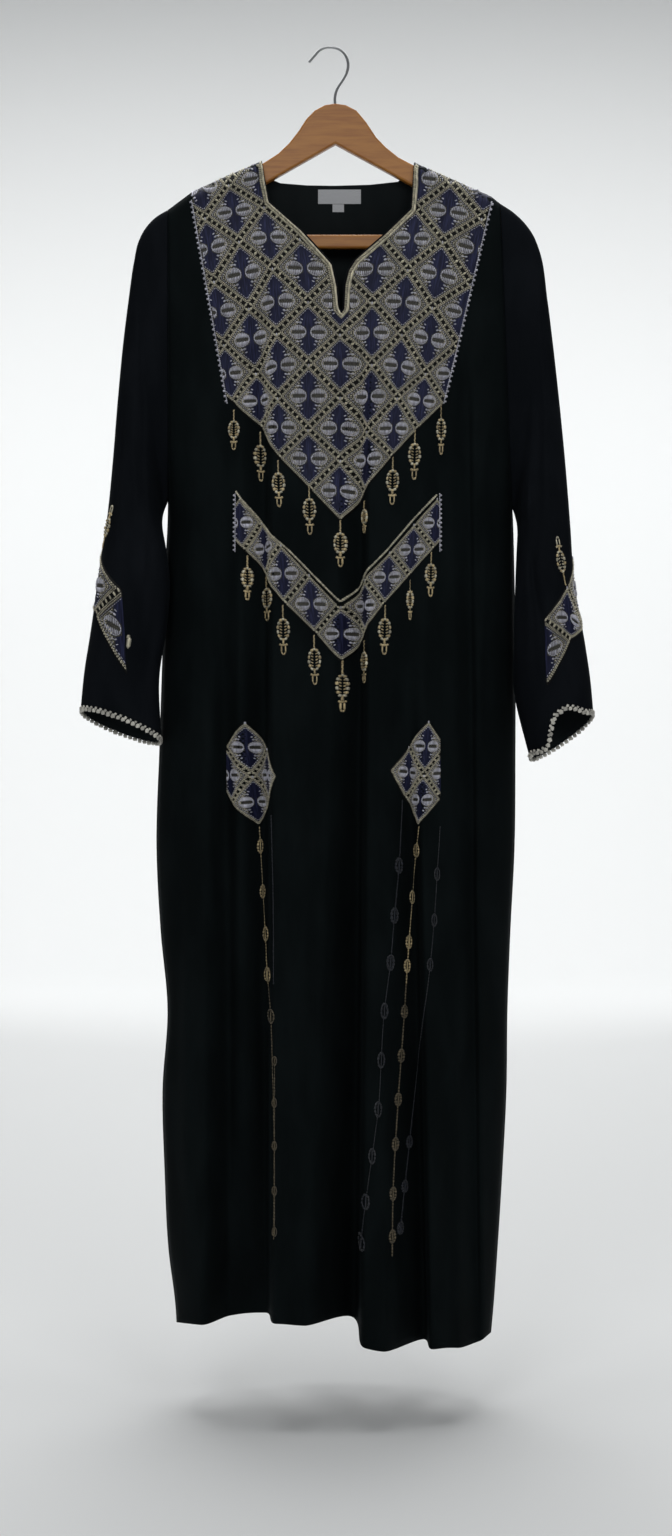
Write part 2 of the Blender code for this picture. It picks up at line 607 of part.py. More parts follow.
# Blank woven label and its size tab, inside the back neck
for name, box in (("label", LABEL_BOX), ("label_tab", TAB_BOX)):
    tag = back_pattern.copy()
    low_x, high_x, top_down, low_down = box
    keep_between(tag, [(low_x, top_down), (high_x, top_down), (high_x, low_down), (low_x, low_down)])
    sewn(name, tag, -half_wall - GAP - LABEL_THICK, -half_wall - GAP, woven_label)
front_pattern.free()
back_pattern.free()


def lug_outline(lug):
    left, right, left_top, right_top = lug
    return [(left, left_top), (left, LUG_DOWN), (right, LUG_DOWN), (right, right_top)]


def hanger_body():
    """Flat wooden body with a rounded crown, sloping arms and a lug at each end for the bar."""
    outline = list(HANGER_TOP)
    outline += lug_outline(LUG_LEFT)
    outline += list(HANGER_UNDER)
    outline += lug_outline(LUG_RIGHT)
    outline += list(HANGER_TOP_RIGHT)
    mesh = bmesh.new()
    verts = [mesh.verts.new((x * MM, -HANGER_THICK / 2 * MM, -down * MM)) for x, down in outline]
    face = mesh.faces.new(verts)
    grown = bmesh.ops.extrude_face_region(mesh, geom=[face], use_keep_orig=True)
    moved = [part for part in grown["geom"] if isinstance(part, bmesh.types.BMVert)]
    bmesh.ops.translate(mesh, verts=moved, vec=(0, HANGER_THICK * MM, 0))
    bmesh.ops.recalc_face_normals(mesh, faces=mesh.faces[:])
    thing = finish_object("hanger", mesh, wood)
    bevel = thing.modifiers.new("rounded edges", "BEVEL")
    bevel.width = HANGER_EDGE * MM
    bevel.segments = 2
    bevel.limit_method = "ANGLE"
    bevel.angle_limit = math.radians(60)
    return thing


def hanger_bar():
    """Flat bar with rounded edges between the two lugs."""
    mesh = bmesh.new()
    bmesh.ops.create_cube(mesh, size=1.0)
    length = LUG_RIGHT[0] - LUG_LEFT[1] - 2 * GAP
    bmesh.ops.scale(mesh, verts=mesh.verts[:], vec=(length * MM, BAR_THICK * MM, BAR_TALL * MM))
    along = [edge for edge in mesh.edges if abs(edge.verts[0].co.x - edge.verts[1].co.x) > MM]
    bmesh.ops.bevel(mesh, geom=along, offset=BAR_ROUNDING * MM, segments=3, profile=0.5, affect="EDGES")
    middle = 0.5 * (LUG_RIGHT[0] + LUG_LEFT[1])
    bmesh.ops.translate(mesh, verts=mesh.verts[:], vec=(middle * MM, 0, -BAR_DOWN * MM))
    return finish_object("hanger_bar", mesh, wood)


def wire_hook():
    """Round wire bent to a hook, its stem ending on the crown of the hanger."""
    curve = bpy.data.curves.new("hook", "CURVE")
    curve.dimensions = "3D"
    curve.bevel_depth = WIRE / 2 * MM
    curve.bevel_resolution = 2
    curve.use_fill_caps = True
    curve.resolution_u = 3
    spline = curve.splines.new("BEZIER")
    spline.bezier_points.add(len(HOOK_CURVE) - 1)
    for point, (x, down) in zip(spline.bezier_points, HOOK_CURVE):
        point.co = (x * MM, 0, -down * MM)
        point.handle_left_type = "AUTO"
        point.handle_right_type = "AUTO"
    curve.materials.append(steel)
    thing = bpy.data.objects.new("hook", curve)
    bpy_scene.collection.objects.link(thing)
    return thing


hanger_body()
hanger_bar()
wire_hook()
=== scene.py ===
import math

import bmesh
import bpy
import numpy as np
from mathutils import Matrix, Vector
from mathutils.bvhtree import BVHTree


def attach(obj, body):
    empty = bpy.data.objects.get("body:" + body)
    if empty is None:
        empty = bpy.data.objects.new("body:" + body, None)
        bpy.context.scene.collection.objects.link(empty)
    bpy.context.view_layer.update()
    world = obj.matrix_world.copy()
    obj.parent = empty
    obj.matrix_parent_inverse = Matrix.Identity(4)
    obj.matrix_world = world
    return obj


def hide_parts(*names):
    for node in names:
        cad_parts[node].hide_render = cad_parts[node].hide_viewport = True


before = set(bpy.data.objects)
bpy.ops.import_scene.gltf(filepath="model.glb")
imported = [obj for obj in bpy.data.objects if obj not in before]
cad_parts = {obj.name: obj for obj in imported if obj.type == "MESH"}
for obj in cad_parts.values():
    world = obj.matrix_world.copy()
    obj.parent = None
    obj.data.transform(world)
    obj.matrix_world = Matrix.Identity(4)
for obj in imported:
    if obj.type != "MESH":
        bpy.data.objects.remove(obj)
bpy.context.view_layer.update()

mm = 0.001
pixel = 1.2  # mm in the plane of the hanger

# Camera and stage. Chart places below are picture pixels
view = {
    "place": (0.0053, -2.9, -0.863),
    "height": 1.8432,  # of the picture, in the plane of the hanger
    "sensor": 36.0,
    "hook": (331.6, 48.75),  # the origin's pixel
    "floor": -1.63,
    "backdrop": 7.4,  # behind every place that a camera takes round the dress
    "sweep": 1.6,
    "stageHalf": 12.0,
    "stageFore": -9.0,
    "stageTop": 7.0,
}
cameraData = bpy.data.cameras.new("camera")
cameraData.sensor_width = view["sensor"]
cameraData.lens = -view["place"][1] / view["height"] * view["sensor"]
camera = bpy.data.objects.new("camera", cameraData)
bpy.context.scene.collection.objects.link(camera)
camera.location = view["place"]
camera.rotation_euler = (math.radians(90), 0, 0)
bpy.context.scene.camera = camera
bpy.context.scene.view_settings.view_transform = "Standard"


def chart(px, py):
    # outline-plane millimetres of a picture pixel
    return tuple((np.asarray(at, float) - hook) * pixel for at, hook in zip((px, py), view["hook"]))


# ---- small helpers
def smooth(at, xs, ys):
    at = np.asarray(at, float)
    slope = np.gradient(ys, xs)
    i = np.clip(np.searchsorted(xs, at) - 1, 0, len(xs) - 2)
    step = xs[i + 1] - xs[i]
    t = np.clip((at - xs[i]) / step, 0.0, 1.0)
    rise = ys[i] * (2 * t**3 - 3 * t**2 + 1) + ys[i + 1] * (3 * t**2 - 2 * t**3)
    return rise + step * (slope[i] * (t**3 - 2 * t**2 + t) + slope[i + 1] * (t**3 - t**2))


def ease(t):
    t = np.clip(t, 0.0, 1.0)
    return t * t * (3 - 2 * t)


def unit(vectors):
    return vectors / np.maximum(np.linalg.norm(vectors, axis=-1, keepdims=True), 1e-12)


def link(name, data):
    thing = bpy.data.objects.new(name, data)
    bpy.context.scene.collection.objects.link(thing)
    return thing


def meshOf(name, source, *finishes):
    # smooth mesh data from a bmesh, or from (points, faces)
    data = bpy.data.meshes.new(name)
    if isinstance(source, tuple):
        data.from_pydata(source[0], [], source[1])
    else:
        source.to_mesh(data)
        source.free()
    data.shade_smooth()
    for finish in finishes:
        data.materials.append(finish)
    return data


def addPiece(name, data, surface=None, node=None, wall=None):
    # a piece of the one body, and what it is sewn to
    piece = link(name, data)
    if wall:
        solid = piece.modifiers.new("wall", "SOLIDIFY")
        solid.thickness = wall * mm
        solid.offset = 0.0
    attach(piece, "root")
    if node:
        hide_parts(node)
    if surface:
        onCloth.setdefault(surface, []).append(piece)
    return piece


def toned(data, low, each, count):
    # a lightness of its own, between low and 1, for each of count stitches or tufts
    tone = data.attributes.new("tone", "FLOAT", "POINT")
    tone.data.foreach_set("value", np.repeat(chance.uniform(low, 1.0, count), each).astype(np.float32))


def moveTo(mesh, points):
    for vert, point in zip(mesh.verts, points.tolist()):
        vert.co = point


# ---- shaders
class Value:
    # a number inside a shader, with the operators of Blender's Math node
    def __init__(self, tree, socket):
        self.tree = tree
        self.socket = socket

    def math(self, operation, *values):
        node = self.tree.nodes.new("ShaderNodeMath")
        node.operation = operation
        for slot, value in zip(node.inputs, values):
            if isinstance(value, Value):
                self.tree.links.new(value.socket, slot)
            else:
                slot.default_value = value
        return Value(self.tree, node.outputs[0])

    def __add__(self, other):
        return self.math("ADD", self, other)

    def __sub__(self, other):
        return self.math("SUBTRACT", self, other)

    def __rsub__(self, other):
        return self.math("SUBTRACT", other, self)

    def __mul__(self, other):
        return self.math("MULTIPLY", self, other)

    __radd__ = __add__
    __rmul__ = __mul__

    def __abs__(self):
        return self.math("ABSOLUTE", self)

    def fract(self):
        return self.math("FRACT", self)

    def above(self, start, end):
        # 0 below start, 1 above end
        node = self.tree.nodes.new("ShaderNodeMapRange")
        node.interpolation_type = "SMOOTHSTEP"
        self.tree.links.new(self.socket, node.inputs["Value"])
        node.inputs["From Min"].default_value = start
        node.inputs["From Max"].default_value = end
        return Value(self.tree, node.outputs["Result"])


class Finish:
    def __init__(self, name, color, roughness, **constants):
        self.material = bpy.data.materials.new(name)
        self.material.use_nodes = True
        self.tree = self.material.node_tree
        self.shader = self.tree.nodes["Principled BSDF"]
        self.shader.inputs["Base Color"].default_value = (*color, 1)
        self.shader.inputs["Roughness"].default_value = roughness
        for key, value in constants.items():
            self.shader.inputs[key.replace("_", " ")].default_value = value

    def feed(self, slot, value):
        value = value.socket if isinstance(value, Value) else value
        if isinstance(value, bpy.types.NodeSocket):
            self.tree.links.new(value, slot)
        else:
            slot.default_value = value

    def node(self, kind, settings=None, **sockets):
        node = self.tree.nodes.new(kind)
        for key, value in (settings or {}).items():
            setattr(node, key, value)
        for key, value in sockets.items():
            self.feed(node.inputs[key], value)
        return node

    def parts(self, vector=None):
        # x, y and z of a vector, the Object coordinates if none is given
        node = self.node("ShaderNodeSeparateXYZ", Vector=vector or self.place())
        return [Value(self.tree, node.outputs[i]) for i in range(3)]

    def place(self):
        return self.node("ShaderNodeTexCoord").outputs["Object"]

    def together(self, x, y, z=0.0):
        return self.node("ShaderNodeCombineXYZ", X=x, Y=y, Z=z).outputs[0]

    def noise(self, vector, scale, detail=2.0, rough=0.5):
        node = self.node("ShaderNodeTexNoise", Vector=vector, Scale=scale, Detail=detail, Roughness=rough)
        return Value(self.tree, node.outputs["Fac"])

    def mix(self, share, first, second):
        node = self.node("ShaderNodeMix", {"data_type": "RGBA"})
        for index, value in ((0, share), (6, first), (7, second)):
            self.feed(node.inputs[index], (*value, 1) if isinstance(value, tuple) else value)
        return node.outputs[2]

    def vary(self, name, value):
        self.feed(self.shader.inputs[name], value)

    def bump(self, height, strength, distance):
        node = self.node("ShaderNodeBump", Height=height, Strength=strength, Distance=distance)
        self.vary("Normal", node.outputs[0])


def velvetFinish(name, dark, light, sheen):
    finish = Finish(name, dark, 0.85, Sheen_Weight=sheen, Sheen_Roughness=0.3,
                    Sheen_Tint=(0.55, 0.80, 0.90, 1), Specular_IOR_Level=0.04)
    x, y, z = finish.parts()
    nap = finish.noise(finish.together(x * 3.0, y * 3.0, z), 9.0, 3.0)
    finish.vary("Base Color", finish.mix(nap.above(0.35, 0.7), dark, light))
    finish.bump(finish.noise(finish.place(), 1400.0, 1.0), 0.35, 0.0006)
    return finish.material


def threadFinish(name, dark, light, metallic, roughness):
    finish = Finish(name, light, roughness, Metallic=metallic, Sheen_Weight=0.15)
    tone = finish.node("ShaderNodeAttribute", {"attribute_name": "tone"}).outputs["Fac"]
    finish.vary("Base Color", finish.mix(tone, dark, light))
    finish.bump(finish.noise(finish.place(), 900.0, 1.0), 0.5, 0.0004)
    return finish.material


def patchFinish(name, pattern):
    # satin field, thread ground and dark dashes, from a cell's own coordinates in the UV map
    finish = Finish(name, pattern["navy"], 0.6, Specular_IOR_Level=0.15)
    s, t = finish.parts(finish.node("ShaderNodeUVMap", {"uv_map": "cells"}).outputs[0])[:2]
    across, down = s.fract() + t.fract() - 1.0, s.fract() - t.fract()
    dx, dy = abs(across) * cellSize["halfWidth"], abs(down) * cellSize["halfHeight"]
    edge = (1.0 - abs(across) - abs(down)) * cellSize["inner"]
    streaks = finish.noise(finish.together(across * 40.0 + s * 3.0, down * 1.6, t), 1.0, 3.0)
    speck = finish.noise(finish.together(s * 60.0, t * 60.0), 1.0, 2.0)
    waist = 2.2 + 7.6 * dy.above(4.0, 10.5)
    field = (waist - dx).above(-0.5, 0.5) * edge.above(5.2, 6.0)
    ground = finish.mix(speck.above(0.4, 0.65), pattern["gap"], pattern["ground"])
    navy = finish.mix(streaks.above(0.42, 0.72), pattern["navy"], pattern["streak"])
    lined = finish.mix(edge.above(1.9, 2.3), pattern["dash"], ground)
    finish.vary("Base Color", finish.mix(field, lined, navy))
    finish.bump(streaks * field + speck * 0.6 * (1.0 - field), 0.6, 0.0008)
    return finish.material


def woodFinish():
    finish = Finish("varnished_wood", (0.42, 0.17, 0.03), 0.42, Coat_Weight=0.1, Coat_Roughness=0.18)
    x, y, z = finish.parts()
    grain = finish.noise(finish.together(x * 6.0, y * 30.0, z * 70.0), 3.0, 5.0, 0.6)
    pores = finish.noise(finish.together(x * 40.0, y * 400.0, z * 700.0), 1.0, 2.0)
    warm = finish.mix(grain.above(0.3, 0.75), (0.385, 0.155, 0.020), (0.275, 0.095, 0.011))
    finish.vary("Base Color", finish.mix(pores.above(0.62, 0.8) * 0.35, warm, (0.16, 0.055, 0.014)))
    finish.vary("Roughness", 0.34 + 0.12 * grain)
    return finish.material


def labelFinish():
    finish = Finish("woven_label", (0.40, 0.41, 0.43), 0.6, Sheen_Weight=0.2)
    x, y, z = finish.parts()
    weave = finish.noise(finish.together(x * 2600.0, z * 900.0), 1.0, 1.0)
    finish.vary("Base Color", finish.mix(weave.above(0.3, 0.7), (0.35, 0.36, 0.38), (0.46, 0.47, 0.49)))
    finish.bump(weave, 0.4, 0.0003)
    return finish.material


cellSize = {"halfWidth": 38.4, "halfHeight": 37.8, "inner": 26.9}  # of an embroidered diamond, in mm
velvet = velvetFinish("black_velvet", (0.0029, 0.0046, 0.0050), (0.0046, 0.0070, 0.0076), 0.006)
# the sleeves get a lighter copy of the body's velvet: painted light, for the light that the sleeves catch
sleeveVelvetPaintedLight = velvetFinish("sleeve_velvet_painted_light", (0.0036, 0.0047, 0.0064), (0.0058, 0.0072, 0.0096), 0.010)
velvetBack = velvetFinish("velvet_inside", (0.0075, 0.0098, 0.0108), (0.0095, 0.0122, 0.0132), 0.02)
silver = threadFinish("silver_thread", (0.09, 0.09, 0.11), (0.70, 0.70, 0.80), 0.2, 0.45)
gold = threadFinish("gold_thread", (0.08, 0.073, 0.050), (0.74, 0.69, 0.52), 0.2, 0.45)
dropGold = threadFinish("drop_gold", (0.14, 0.10, 0.05), (0.66, 0.53, 0.29), 0.25, 0.5)
dimGold = threadFinish("dim_gold", (0.03, 0.024, 0.014), (0.15, 0.12, 0.07), 0.2, 0.6)
dimBlue = threadFinish("dim_blue", (0.004, 0.006, 0.010), (0.012, 0.016, 0.026), 0.1, 0.7)
cuffSilver = threadFinish("cuff_silver", (0.10, 0.097, 0.088), (0.66, 0.64, 0.57), 0.1, 0.55)
piping = velvetFinish("black_piping", (0.003, 0.003, 0.004), (0.005, 0.005, 0.006), 0.05)
patch = patchFinish("satin_patch", {
    "navy": (0.0055, 0.0065, 0.022), "streak": (0.026, 0.031, 0.082),
    "ground": (0.120, 0.115, 0.096), "gap": (0.008, 0.008, 0.008), "dash": (0.002, 0.002, 0.0015),
})
steel = Finish("plated_steel", (0.42, 0.43, 0.44), 0.28, Metallic=1.0).material
wood = woodFinish()
label = labelFinish()
print("finishes made")


# ---- cloth forms, the same tables as the solids
sectionNames = ("down", "left", "right", "front", "back", "armhole")
sections = np.array((
    (130, -196, 200, 15, 13, 12), (187, -196.3, 202.1, 19, 15, 12), (230, -196.2, 203.8, 30, 21, 15),
    (301, -196.1, 206.6, 44, 32, 20), (421, -196, 211.3, 62, 48, 24), (500, -195.9, 214.4, 72, 58, 18),
    (545, -195.8, 216.2, 78, 64, 6), (575, -196.5, 217.5, 80, 66, 0), (613, -198.7, 218.5, 83, 70, 0),
    (721, -202.3, 220.1, 90, 78, 0), (835, -205.9, 220.1, 96, 84, 0), (961, -209.5, 218.9, 101, 90, 0),
    (1057, -204.7, 214.1, 104, 94, 0), (1153, -196.3, 210.5, 108, 98, 0),
    (1249, -202.3, 209.3, 111, 102, 0), (1345, -199.9, 204.5, 114, 106, 0),
    (1441, -195.1, 198.5, 117, 110, 0), (1509, -186.7, 193.7, 120, 114, 0),
    (1560, -184.3, 188.9, 120, 116, 0),
), float)
edgeNames = ("column", "x", "down", "layX", "layDown", "onArm")
frontEdge = np.array((
    (-1, -196.3, 194.1, 0, 1, 1), (-0.86, -167.5, 172.5, 0, 1.05, 1),
    (-0.66, -126.7, 153.9, -0.2, 1.15, 1), (-0.455, -84.7, 135.7, -0.8, 0.8, 1),
    (-0.445, -84.2, 138.9, -0.55, 0.4, 0.3), (-0.42, -81.1, 157.5, -0.8, 0.2, 0.2),
    (-0.37, -75.1, 183.9, -0.75, 0.5, 0), (-0.2, -35.5, 218.7, -0.7, 0.71, 0),
    (-0.035, 0.5, 258.3, -0.85, 0.53, 0), (-0.008, 6.5, 284.7, -1, 0.15, 0),
    (0.013, 8.9, 312, -0.9, 0.44, 0), (0.035, 11.6, 317.7, 0, 1, 0),
    (0.057, 14.3, 312, 0.9, 0.44, 0), (0.078, 15.5, 284.7, 1, 0.15, 0),
    (0.105, 19.7, 266.7, 0.9, 0.44, 0), (0.15, 28.1, 253.5, 0.75, 0.66, 0),
    (0.3, 62.9, 223.5, 0.7, 0.71, 0), (0.44, 95.3, 192.3, 0.75, 0.5, 0),
    (0.475, 98.3, 163.5, 0.8, 0.2, 0.2), (0.49, 99.8, 141, 0.55, 0.4, 0.3),
    (0.5, 100.1, 137.7, 0.8, 0.8, 1), (0.66, 148.1, 158.7, 0.2, 1.15, 1),
    (0.88, 191.3, 177.9, 0, 1.05, 1), (1, 202.1, 186.5, 0, 1, 1),
), float)
backEdge = np.array((
    (-1, -196.3, 194.1, 0, 1, 1), (-0.86, -167.5, 172.5, 0, 1.05, 1),
    (-0.66, -126.7, 153.9, -0.1, 1.1, 1), (-0.455, -84.7, 135.7, -0.3, 1.1, 1),
    (-0.44, -84, 139.7, -0.3, 0.95, 0.3), (-0.4, -78, 151, -0.4, 0.9, 0.1),
    (-0.33, -62, 158, -0.1, 1, 0), (-0.16, -30, 160.6, 0, 1, 0),
    (0.02, 4.1, 161.1, 0, 1, 0), (0.22, 46, 159.9, 0, 1, 0),
    (0.39, 79.7, 156.3, 0.1, 1, 0), (0.48, 99, 142, 0.3, 0.95, 0.3),
    (0.5, 100.1, 137.7, 0.3, 1.1, 1), (0.66, 148.1, 158.7, 0.1, 1.1, 1),
    (0.88, 191.3, 177.9, 0, 1.05, 1), (1, 202.1, 186.5, 0, 1, 1),
), float)
hem = np.array((
    (-1, 1528, 1528), (-0.86, 1531, 1524), (-0.28, 1531, 1517), (-0.03, 1538, 1516),
    (0.14, 1555, 1519), (0.71, 1559, 1530), (0.93, 1552, 1537), (1, 1540, 1540),
), float)
foldNames = ("begins", "whole", "xChest", "xHem", "wideChest", "wideHem",
             "deepChest", "deepHem", "leanChest", "leanHem")
frontFolds = (
    (300, 900, -131, -127, 22, 30, 5, 52, 2, 8), (240, 460, -88, -98, 20, 32, 15, 60, 6, 18),
    (250, 440, 32, 4, 17, 38, 9, 80, 4, 22), (600, 1000, 84, 92, 18, 31, 0, 62, 0, 17),
    (330, 460, 158, 168, 15, 17, 10, 18, 4, 5),
)
backFolds = (
    (420, 1000, -128, -122, 24, 32, 4, 46, 3, -6), (300, 800, -52, -58, 22, 34, 6, 60, 4, 10),
    (340, 900, 26, 22, 22, 34, 5, 54, 3, -10), (280, 760, 88, 96, 22, 34, 8, 56, -4, 10),
    (520, 1100, 156, 152, 18, 20, 3, 20, 0, 3),
)
# creases of the cloth itself: from (x, down) to (x, down), half width, depth (a ridge is below 0)
frontCreases = (
    (-166, 330, -171, 1500, 9, -3.2, 0.7), (-153, 520, -158, 1480, 7, -2.6, 2.1),
    (-142, 640, -141, 1540, 8, -3.0, 3.4), (-180, 760, -186, 1530, 7, 2.6, 1.3),
    (-70, 300, -62, 1500, 10, 2.6, 0.2), (-46, 560, -50, 1540, 9, -2.8, 4.2),
    (-22, 760, -24, 1530, 8, 3.4, 5.1), (46, 420, 56, 1540, 8, -3.6, 1.9),
    (66, 380, 70, 1400, 7, 2.4, 0.9), (112, 420, 118, 1540, 9, -3.0, 2.8),
    (134, 360, 136, 1540, 8, 3.0, 4.6), (184, 380, 181, 860, 7, -3.4, 0.5),
    (176, 900, 175, 1530, 7, -3.0, 3.9), (192, 1000, 184, 1550, 6, 2.4, 2.2),
    (-110, 470, -116, 900, 7, 2.0, 1.1), (18, 330, 14, 700, 7, 2.2, 3.1),
    (-120, 1180, -64, 1500, 12, -2.4, 0.6), (62, 1240, 16, 1520, 11, 2.4, 1.6),
    (150, 1200, 112, 1500, 12, -2.2, 2.6),
)
backCreases = (
    (-170, 360, -174, 1500, 9, -3.0, 1.7), (-150, 620, -148, 1500, 8, 2.6, 0.4),
    (-92, 300, -90, 1490, 10, -3.4, 2.9), (-74, 700, -78, 1500, 7, 2.4, 5.0),
    (-24, 330, -18, 1500, 9, -3.2, 3.7), (4, 560, -2, 1500, 8, 2.8, 1.2),
    (58, 340, 62, 1490, 9, -3.0, 0.1), (74, 800, 78, 1500, 7, 2.6, 4.4),
    (122, 300, 126, 1500, 10, -3.6, 2.3), (142, 740, 138, 1500, 7, 2.4, 3.3),
    (184, 420, 180, 1510, 8, -2.8, 0.8), (-188, 700, -186, 1500, 6, 2.2, 2.6),
    (-130, 250, -60, 420, 16, 2.4, 0.9), (140, 245, 70, 430, 16, 2.4, 2.0),
)
sleeveNames = ("overX", "overDown", "underX", "underDown", "depth", "forward", "rise")
leftSleeve = np.array((
    (-196.9, 194.3, -196.5, 543, 22, 0, 0), (-210, 202.2, -197.9, 545.5, 22, 0, 0),
    (-222, 214.4, -199.1, 548.5, 23, 0, 0), (-231.4, 232.2, -200.3, 551.5, 24, 1, 0),
    (-236.6, 256, -201.5, 555, 25, 2, 0), (-243.1, 301.5, -202.6, 559, 27, 4, 0),
    (-249.1, 349.5, -203.4, 564, 29, 7, 0), (-255.9, 420, -203.6, 571, 32, 12, 0),
    (-262, 495, -202.5, 581, 35, 18, 0), (-268, 556, -199, 601, 37, 26, 0),
    (-279.1, 632, -194.5, 645, 39, 34, 2), (-288.7, 700, -199, 700, 38, 36, 4),
    (-296.5, 750, -207.5, 760, 36, 36, 6), (-300.7, 793.5, -204.7, 830, 33, 34, 9),
), float)
rightSleeve = np.array((
    (202.5, 186.7, 216.7, 551, 22, 0, 0), (217, 196.2, 218.2, 553.5, 22, 0, 0),
    (231.2, 209.5, 219.3, 556.5, 23, 0, 0), (242, 225, 220.4, 560, 24, 1, 0),
    (249.1, 243, 221.4, 564, 25, 2, 0), (258.5, 301.5, 222.5, 569, 27, 4, 0),
    (264.5, 349.5, 223.2, 575, 29, 7, 0), (272.9, 425, 223.5, 583, 32, 12, 0),
    (280.6, 505, 223, 594, 35, 18, 0), (286.1, 575, 222, 615, 37, 26, 0),
    (291, 645, 220.6, 655, 39, 34, 2), (302.9, 709.5, 219, 712, 38, 36, 4),
    (310, 758, 220, 776, 36, 36, 6), (313.7, 798.3, 238, 850, 33, 34, 9),
), float)
# sleeve creases: the same, with places round the tube (0 overarm, under 0 in front) and shares of its length
leftCreases = (
    (-40, 0.10, -62, 0.62, 7, -2.6, 0.3), (-62, 0.16, -84, 0.74, 8, 3.0, 1.2),
    (-82, 0.22, -70, 0.98, 7, -2.8, 2.4), (-24, 0.30, -34, 0.86, 7, 2.4, 3.1),
    (-104, 0.30, -98, 1.00, 8, 3.0, 4.0), (-50, 0.70, -48, 1.00, 6, 2.6, 1.8),
    (44, 0.12, 66, 0.80, 9, -3.0, 0.9), (84, 0.25, 76, 0.98, 8, 3.0, 2.2), (20, 0.35, 30, 0.95, 8, 2.4, 3.6),
)
rightCreases = (
    (-36, 0.10, -58, 0.66, 7, -2.6, 1.3), (-58, 0.18, -80, 0.80, 8, 3.0, 0.2),
    (-84, 0.26, -92, 0.98, 7, -2.8, 3.4), (-22, 0.28, -30, 0.90, 7, 2.4, 2.1),
    (-106, 0.30, -70, 1.00, 9, 5.0, 5.0), (-46, 0.74, -44, 1.00, 6, 2.6, 0.8),
    (46, 0.14, 62, 0.82, 9, -3.0, 1.9), (88, 0.22, 80, 0.98, 8, 3.0, 4.2), (22, 0.32, 28, 0.95, 8, 2.4, 0.6),
)
cloth = {
    "seam": 0.25, "thick": 1.2, "eye": 2900.0, "eyeX": 5.0, "eyeDown": 863.0,
    "roll": 2.5, "fade": 0.28, "least": 4.0, "apart": 0.35, "chest": 420.0, "hem": 1525.0,
    "underarm": 525.0, "underarmTurn": 35.0, "sleeveRound": 262.0,
    "sleeveRows": 130, "sleeveSides": 120, "cuffFrom": 0.88, "pinch": 24, "pinchOver": 60.0,
    "tubeFrom": 0.3, "tubeRound": 0.85, "rowCrowd": 1.12, "sleeveCrowd": 1.1, "foldCrowd": 1.2,
    "halfWidth": 205.0, "keyPoints": 4001,
    "near": (0.0, 0.8, 2.4, 4.05, 5.7, 7.3, 7.9),  # rows at the panels' upper edge
}


def column(table, names, name):
    return table[:, names.index(name)]


def section(name, down):
    return smooth(down, column(sections, sectionNames, "down"), column(sections, sectionNames, name))


def seen(x, y, down, baseY):
    scaleX = 1 + np.minimum(y, 0) / cloth["eye"]
    scaleDown = 1 + np.minimum(baseY, 0) / cloth["eye"]
    realX = cloth["eyeX"] + (x - cloth["eyeX"]) * scaleX
    realDown = cloth["eyeDown"] + (down - cloth["eyeDown"]) * scaleDown
    return np.stack([realX, y, -realDown], axis=-1) * mm


def folded(x, down, folds):
    shift, inward = np.zeros_like(x), np.zeros_like(x)
    along = (down - cloth["chest"]) / (cloth["hem"] - cloth["chest"])
    for row in folds:
        fold = dict(zip(foldNames, row))
        centre = fold["xChest"] + (fold["xHem"] - fold["xChest"]) * along
        share = np.clip(along, 0, 1)
        wide, deep, lean = (fold[key + "Chest"] + (fold[key + "Hem"] - fold[key + "Chest"]) * share
                            for key in ("wide", "deep", "lean"))
        grown = ease((down - fold["begins"]) / (fold["whole"] - fold["begins"]))
        bump = 0.5 + 0.5 * np.cos(np.pi * np.clip((x - centre) / wide, -1, 1))
        shift += bump * grown * lean
        inward += bump * grown * deep
    return shift, inward


def creased(x, down, creases):
    # soft troughs and ridges, uneven along their length
    inward = np.zeros_like(x)
    for x0, down0, x1, down1, wide, deep, wave in creases:
        along = (down - down0) / (down1 - down0)
        wander = 0.35 * wide * np.sin(along * 5.3 + wave) + 0.2 * wide * np.sin(along * 13.0 + 2 * wave)
        centre = x0 + (x1 - x0) * along + wander
        spread = wide * (1 + 0.3 * np.sin(along * 4.1 + 3 * wave))
        grown = ease(along / 0.22) * ease((1 - along) / 0.18)
        uneven = 0.75 + 0.35 * np.sin(along * 7.7 + 1.7 * wave)
        inward += deep * grown * uneven * np.exp(-(((x - centre) / spread) ** 2))
    return inward


def columnsBetween(keys, folds, count):
    # columns between the keys, closer together at the folds
    fine = np.linspace(-1, 1, cloth["keyPoints"])
    crowd = np.ones_like(fine)
    for row in folds:
        fold = dict(zip(foldNames, row))
        middle = 0.5 * (fold["xChest"] + fold["xHem"])
        wide = 0.5 * (fold["wideChest"] + fold["wideHem"])
        crowd += cloth["foldCrowd"] * np.exp(-(((fine * cloth["halfWidth"] - middle) / wide) ** 2))
    total = np.concatenate([[0], np.cumsum(crowd[1:] + crowd[:-1])])
    total *= count / total[-1]
    places = []
    for start, end in zip(keys[:-1], keys[1:]):
        share = np.interp([start, end], fine, total)
        pieces = max(1, int(round(share[1] - share[0])))
        places.extend(np.interp(np.linspace(share[0], share[1], pieces + 1)[:-1], total, fine))
    return np.array([*places, keys[-1]])


def normalsOf(points, roundTube=False):
    if roundTube:
        wrapped = np.concatenate([points[:, -2:-1], points, points[:, 1:2]], axis=1)
        across = wrapped[:, 2:] - wrapped[:, :-2]
    else:
        across = np.gradient(points, axis=1)
    return unit(np.cross(across, np.gradient(points, axis=0)))


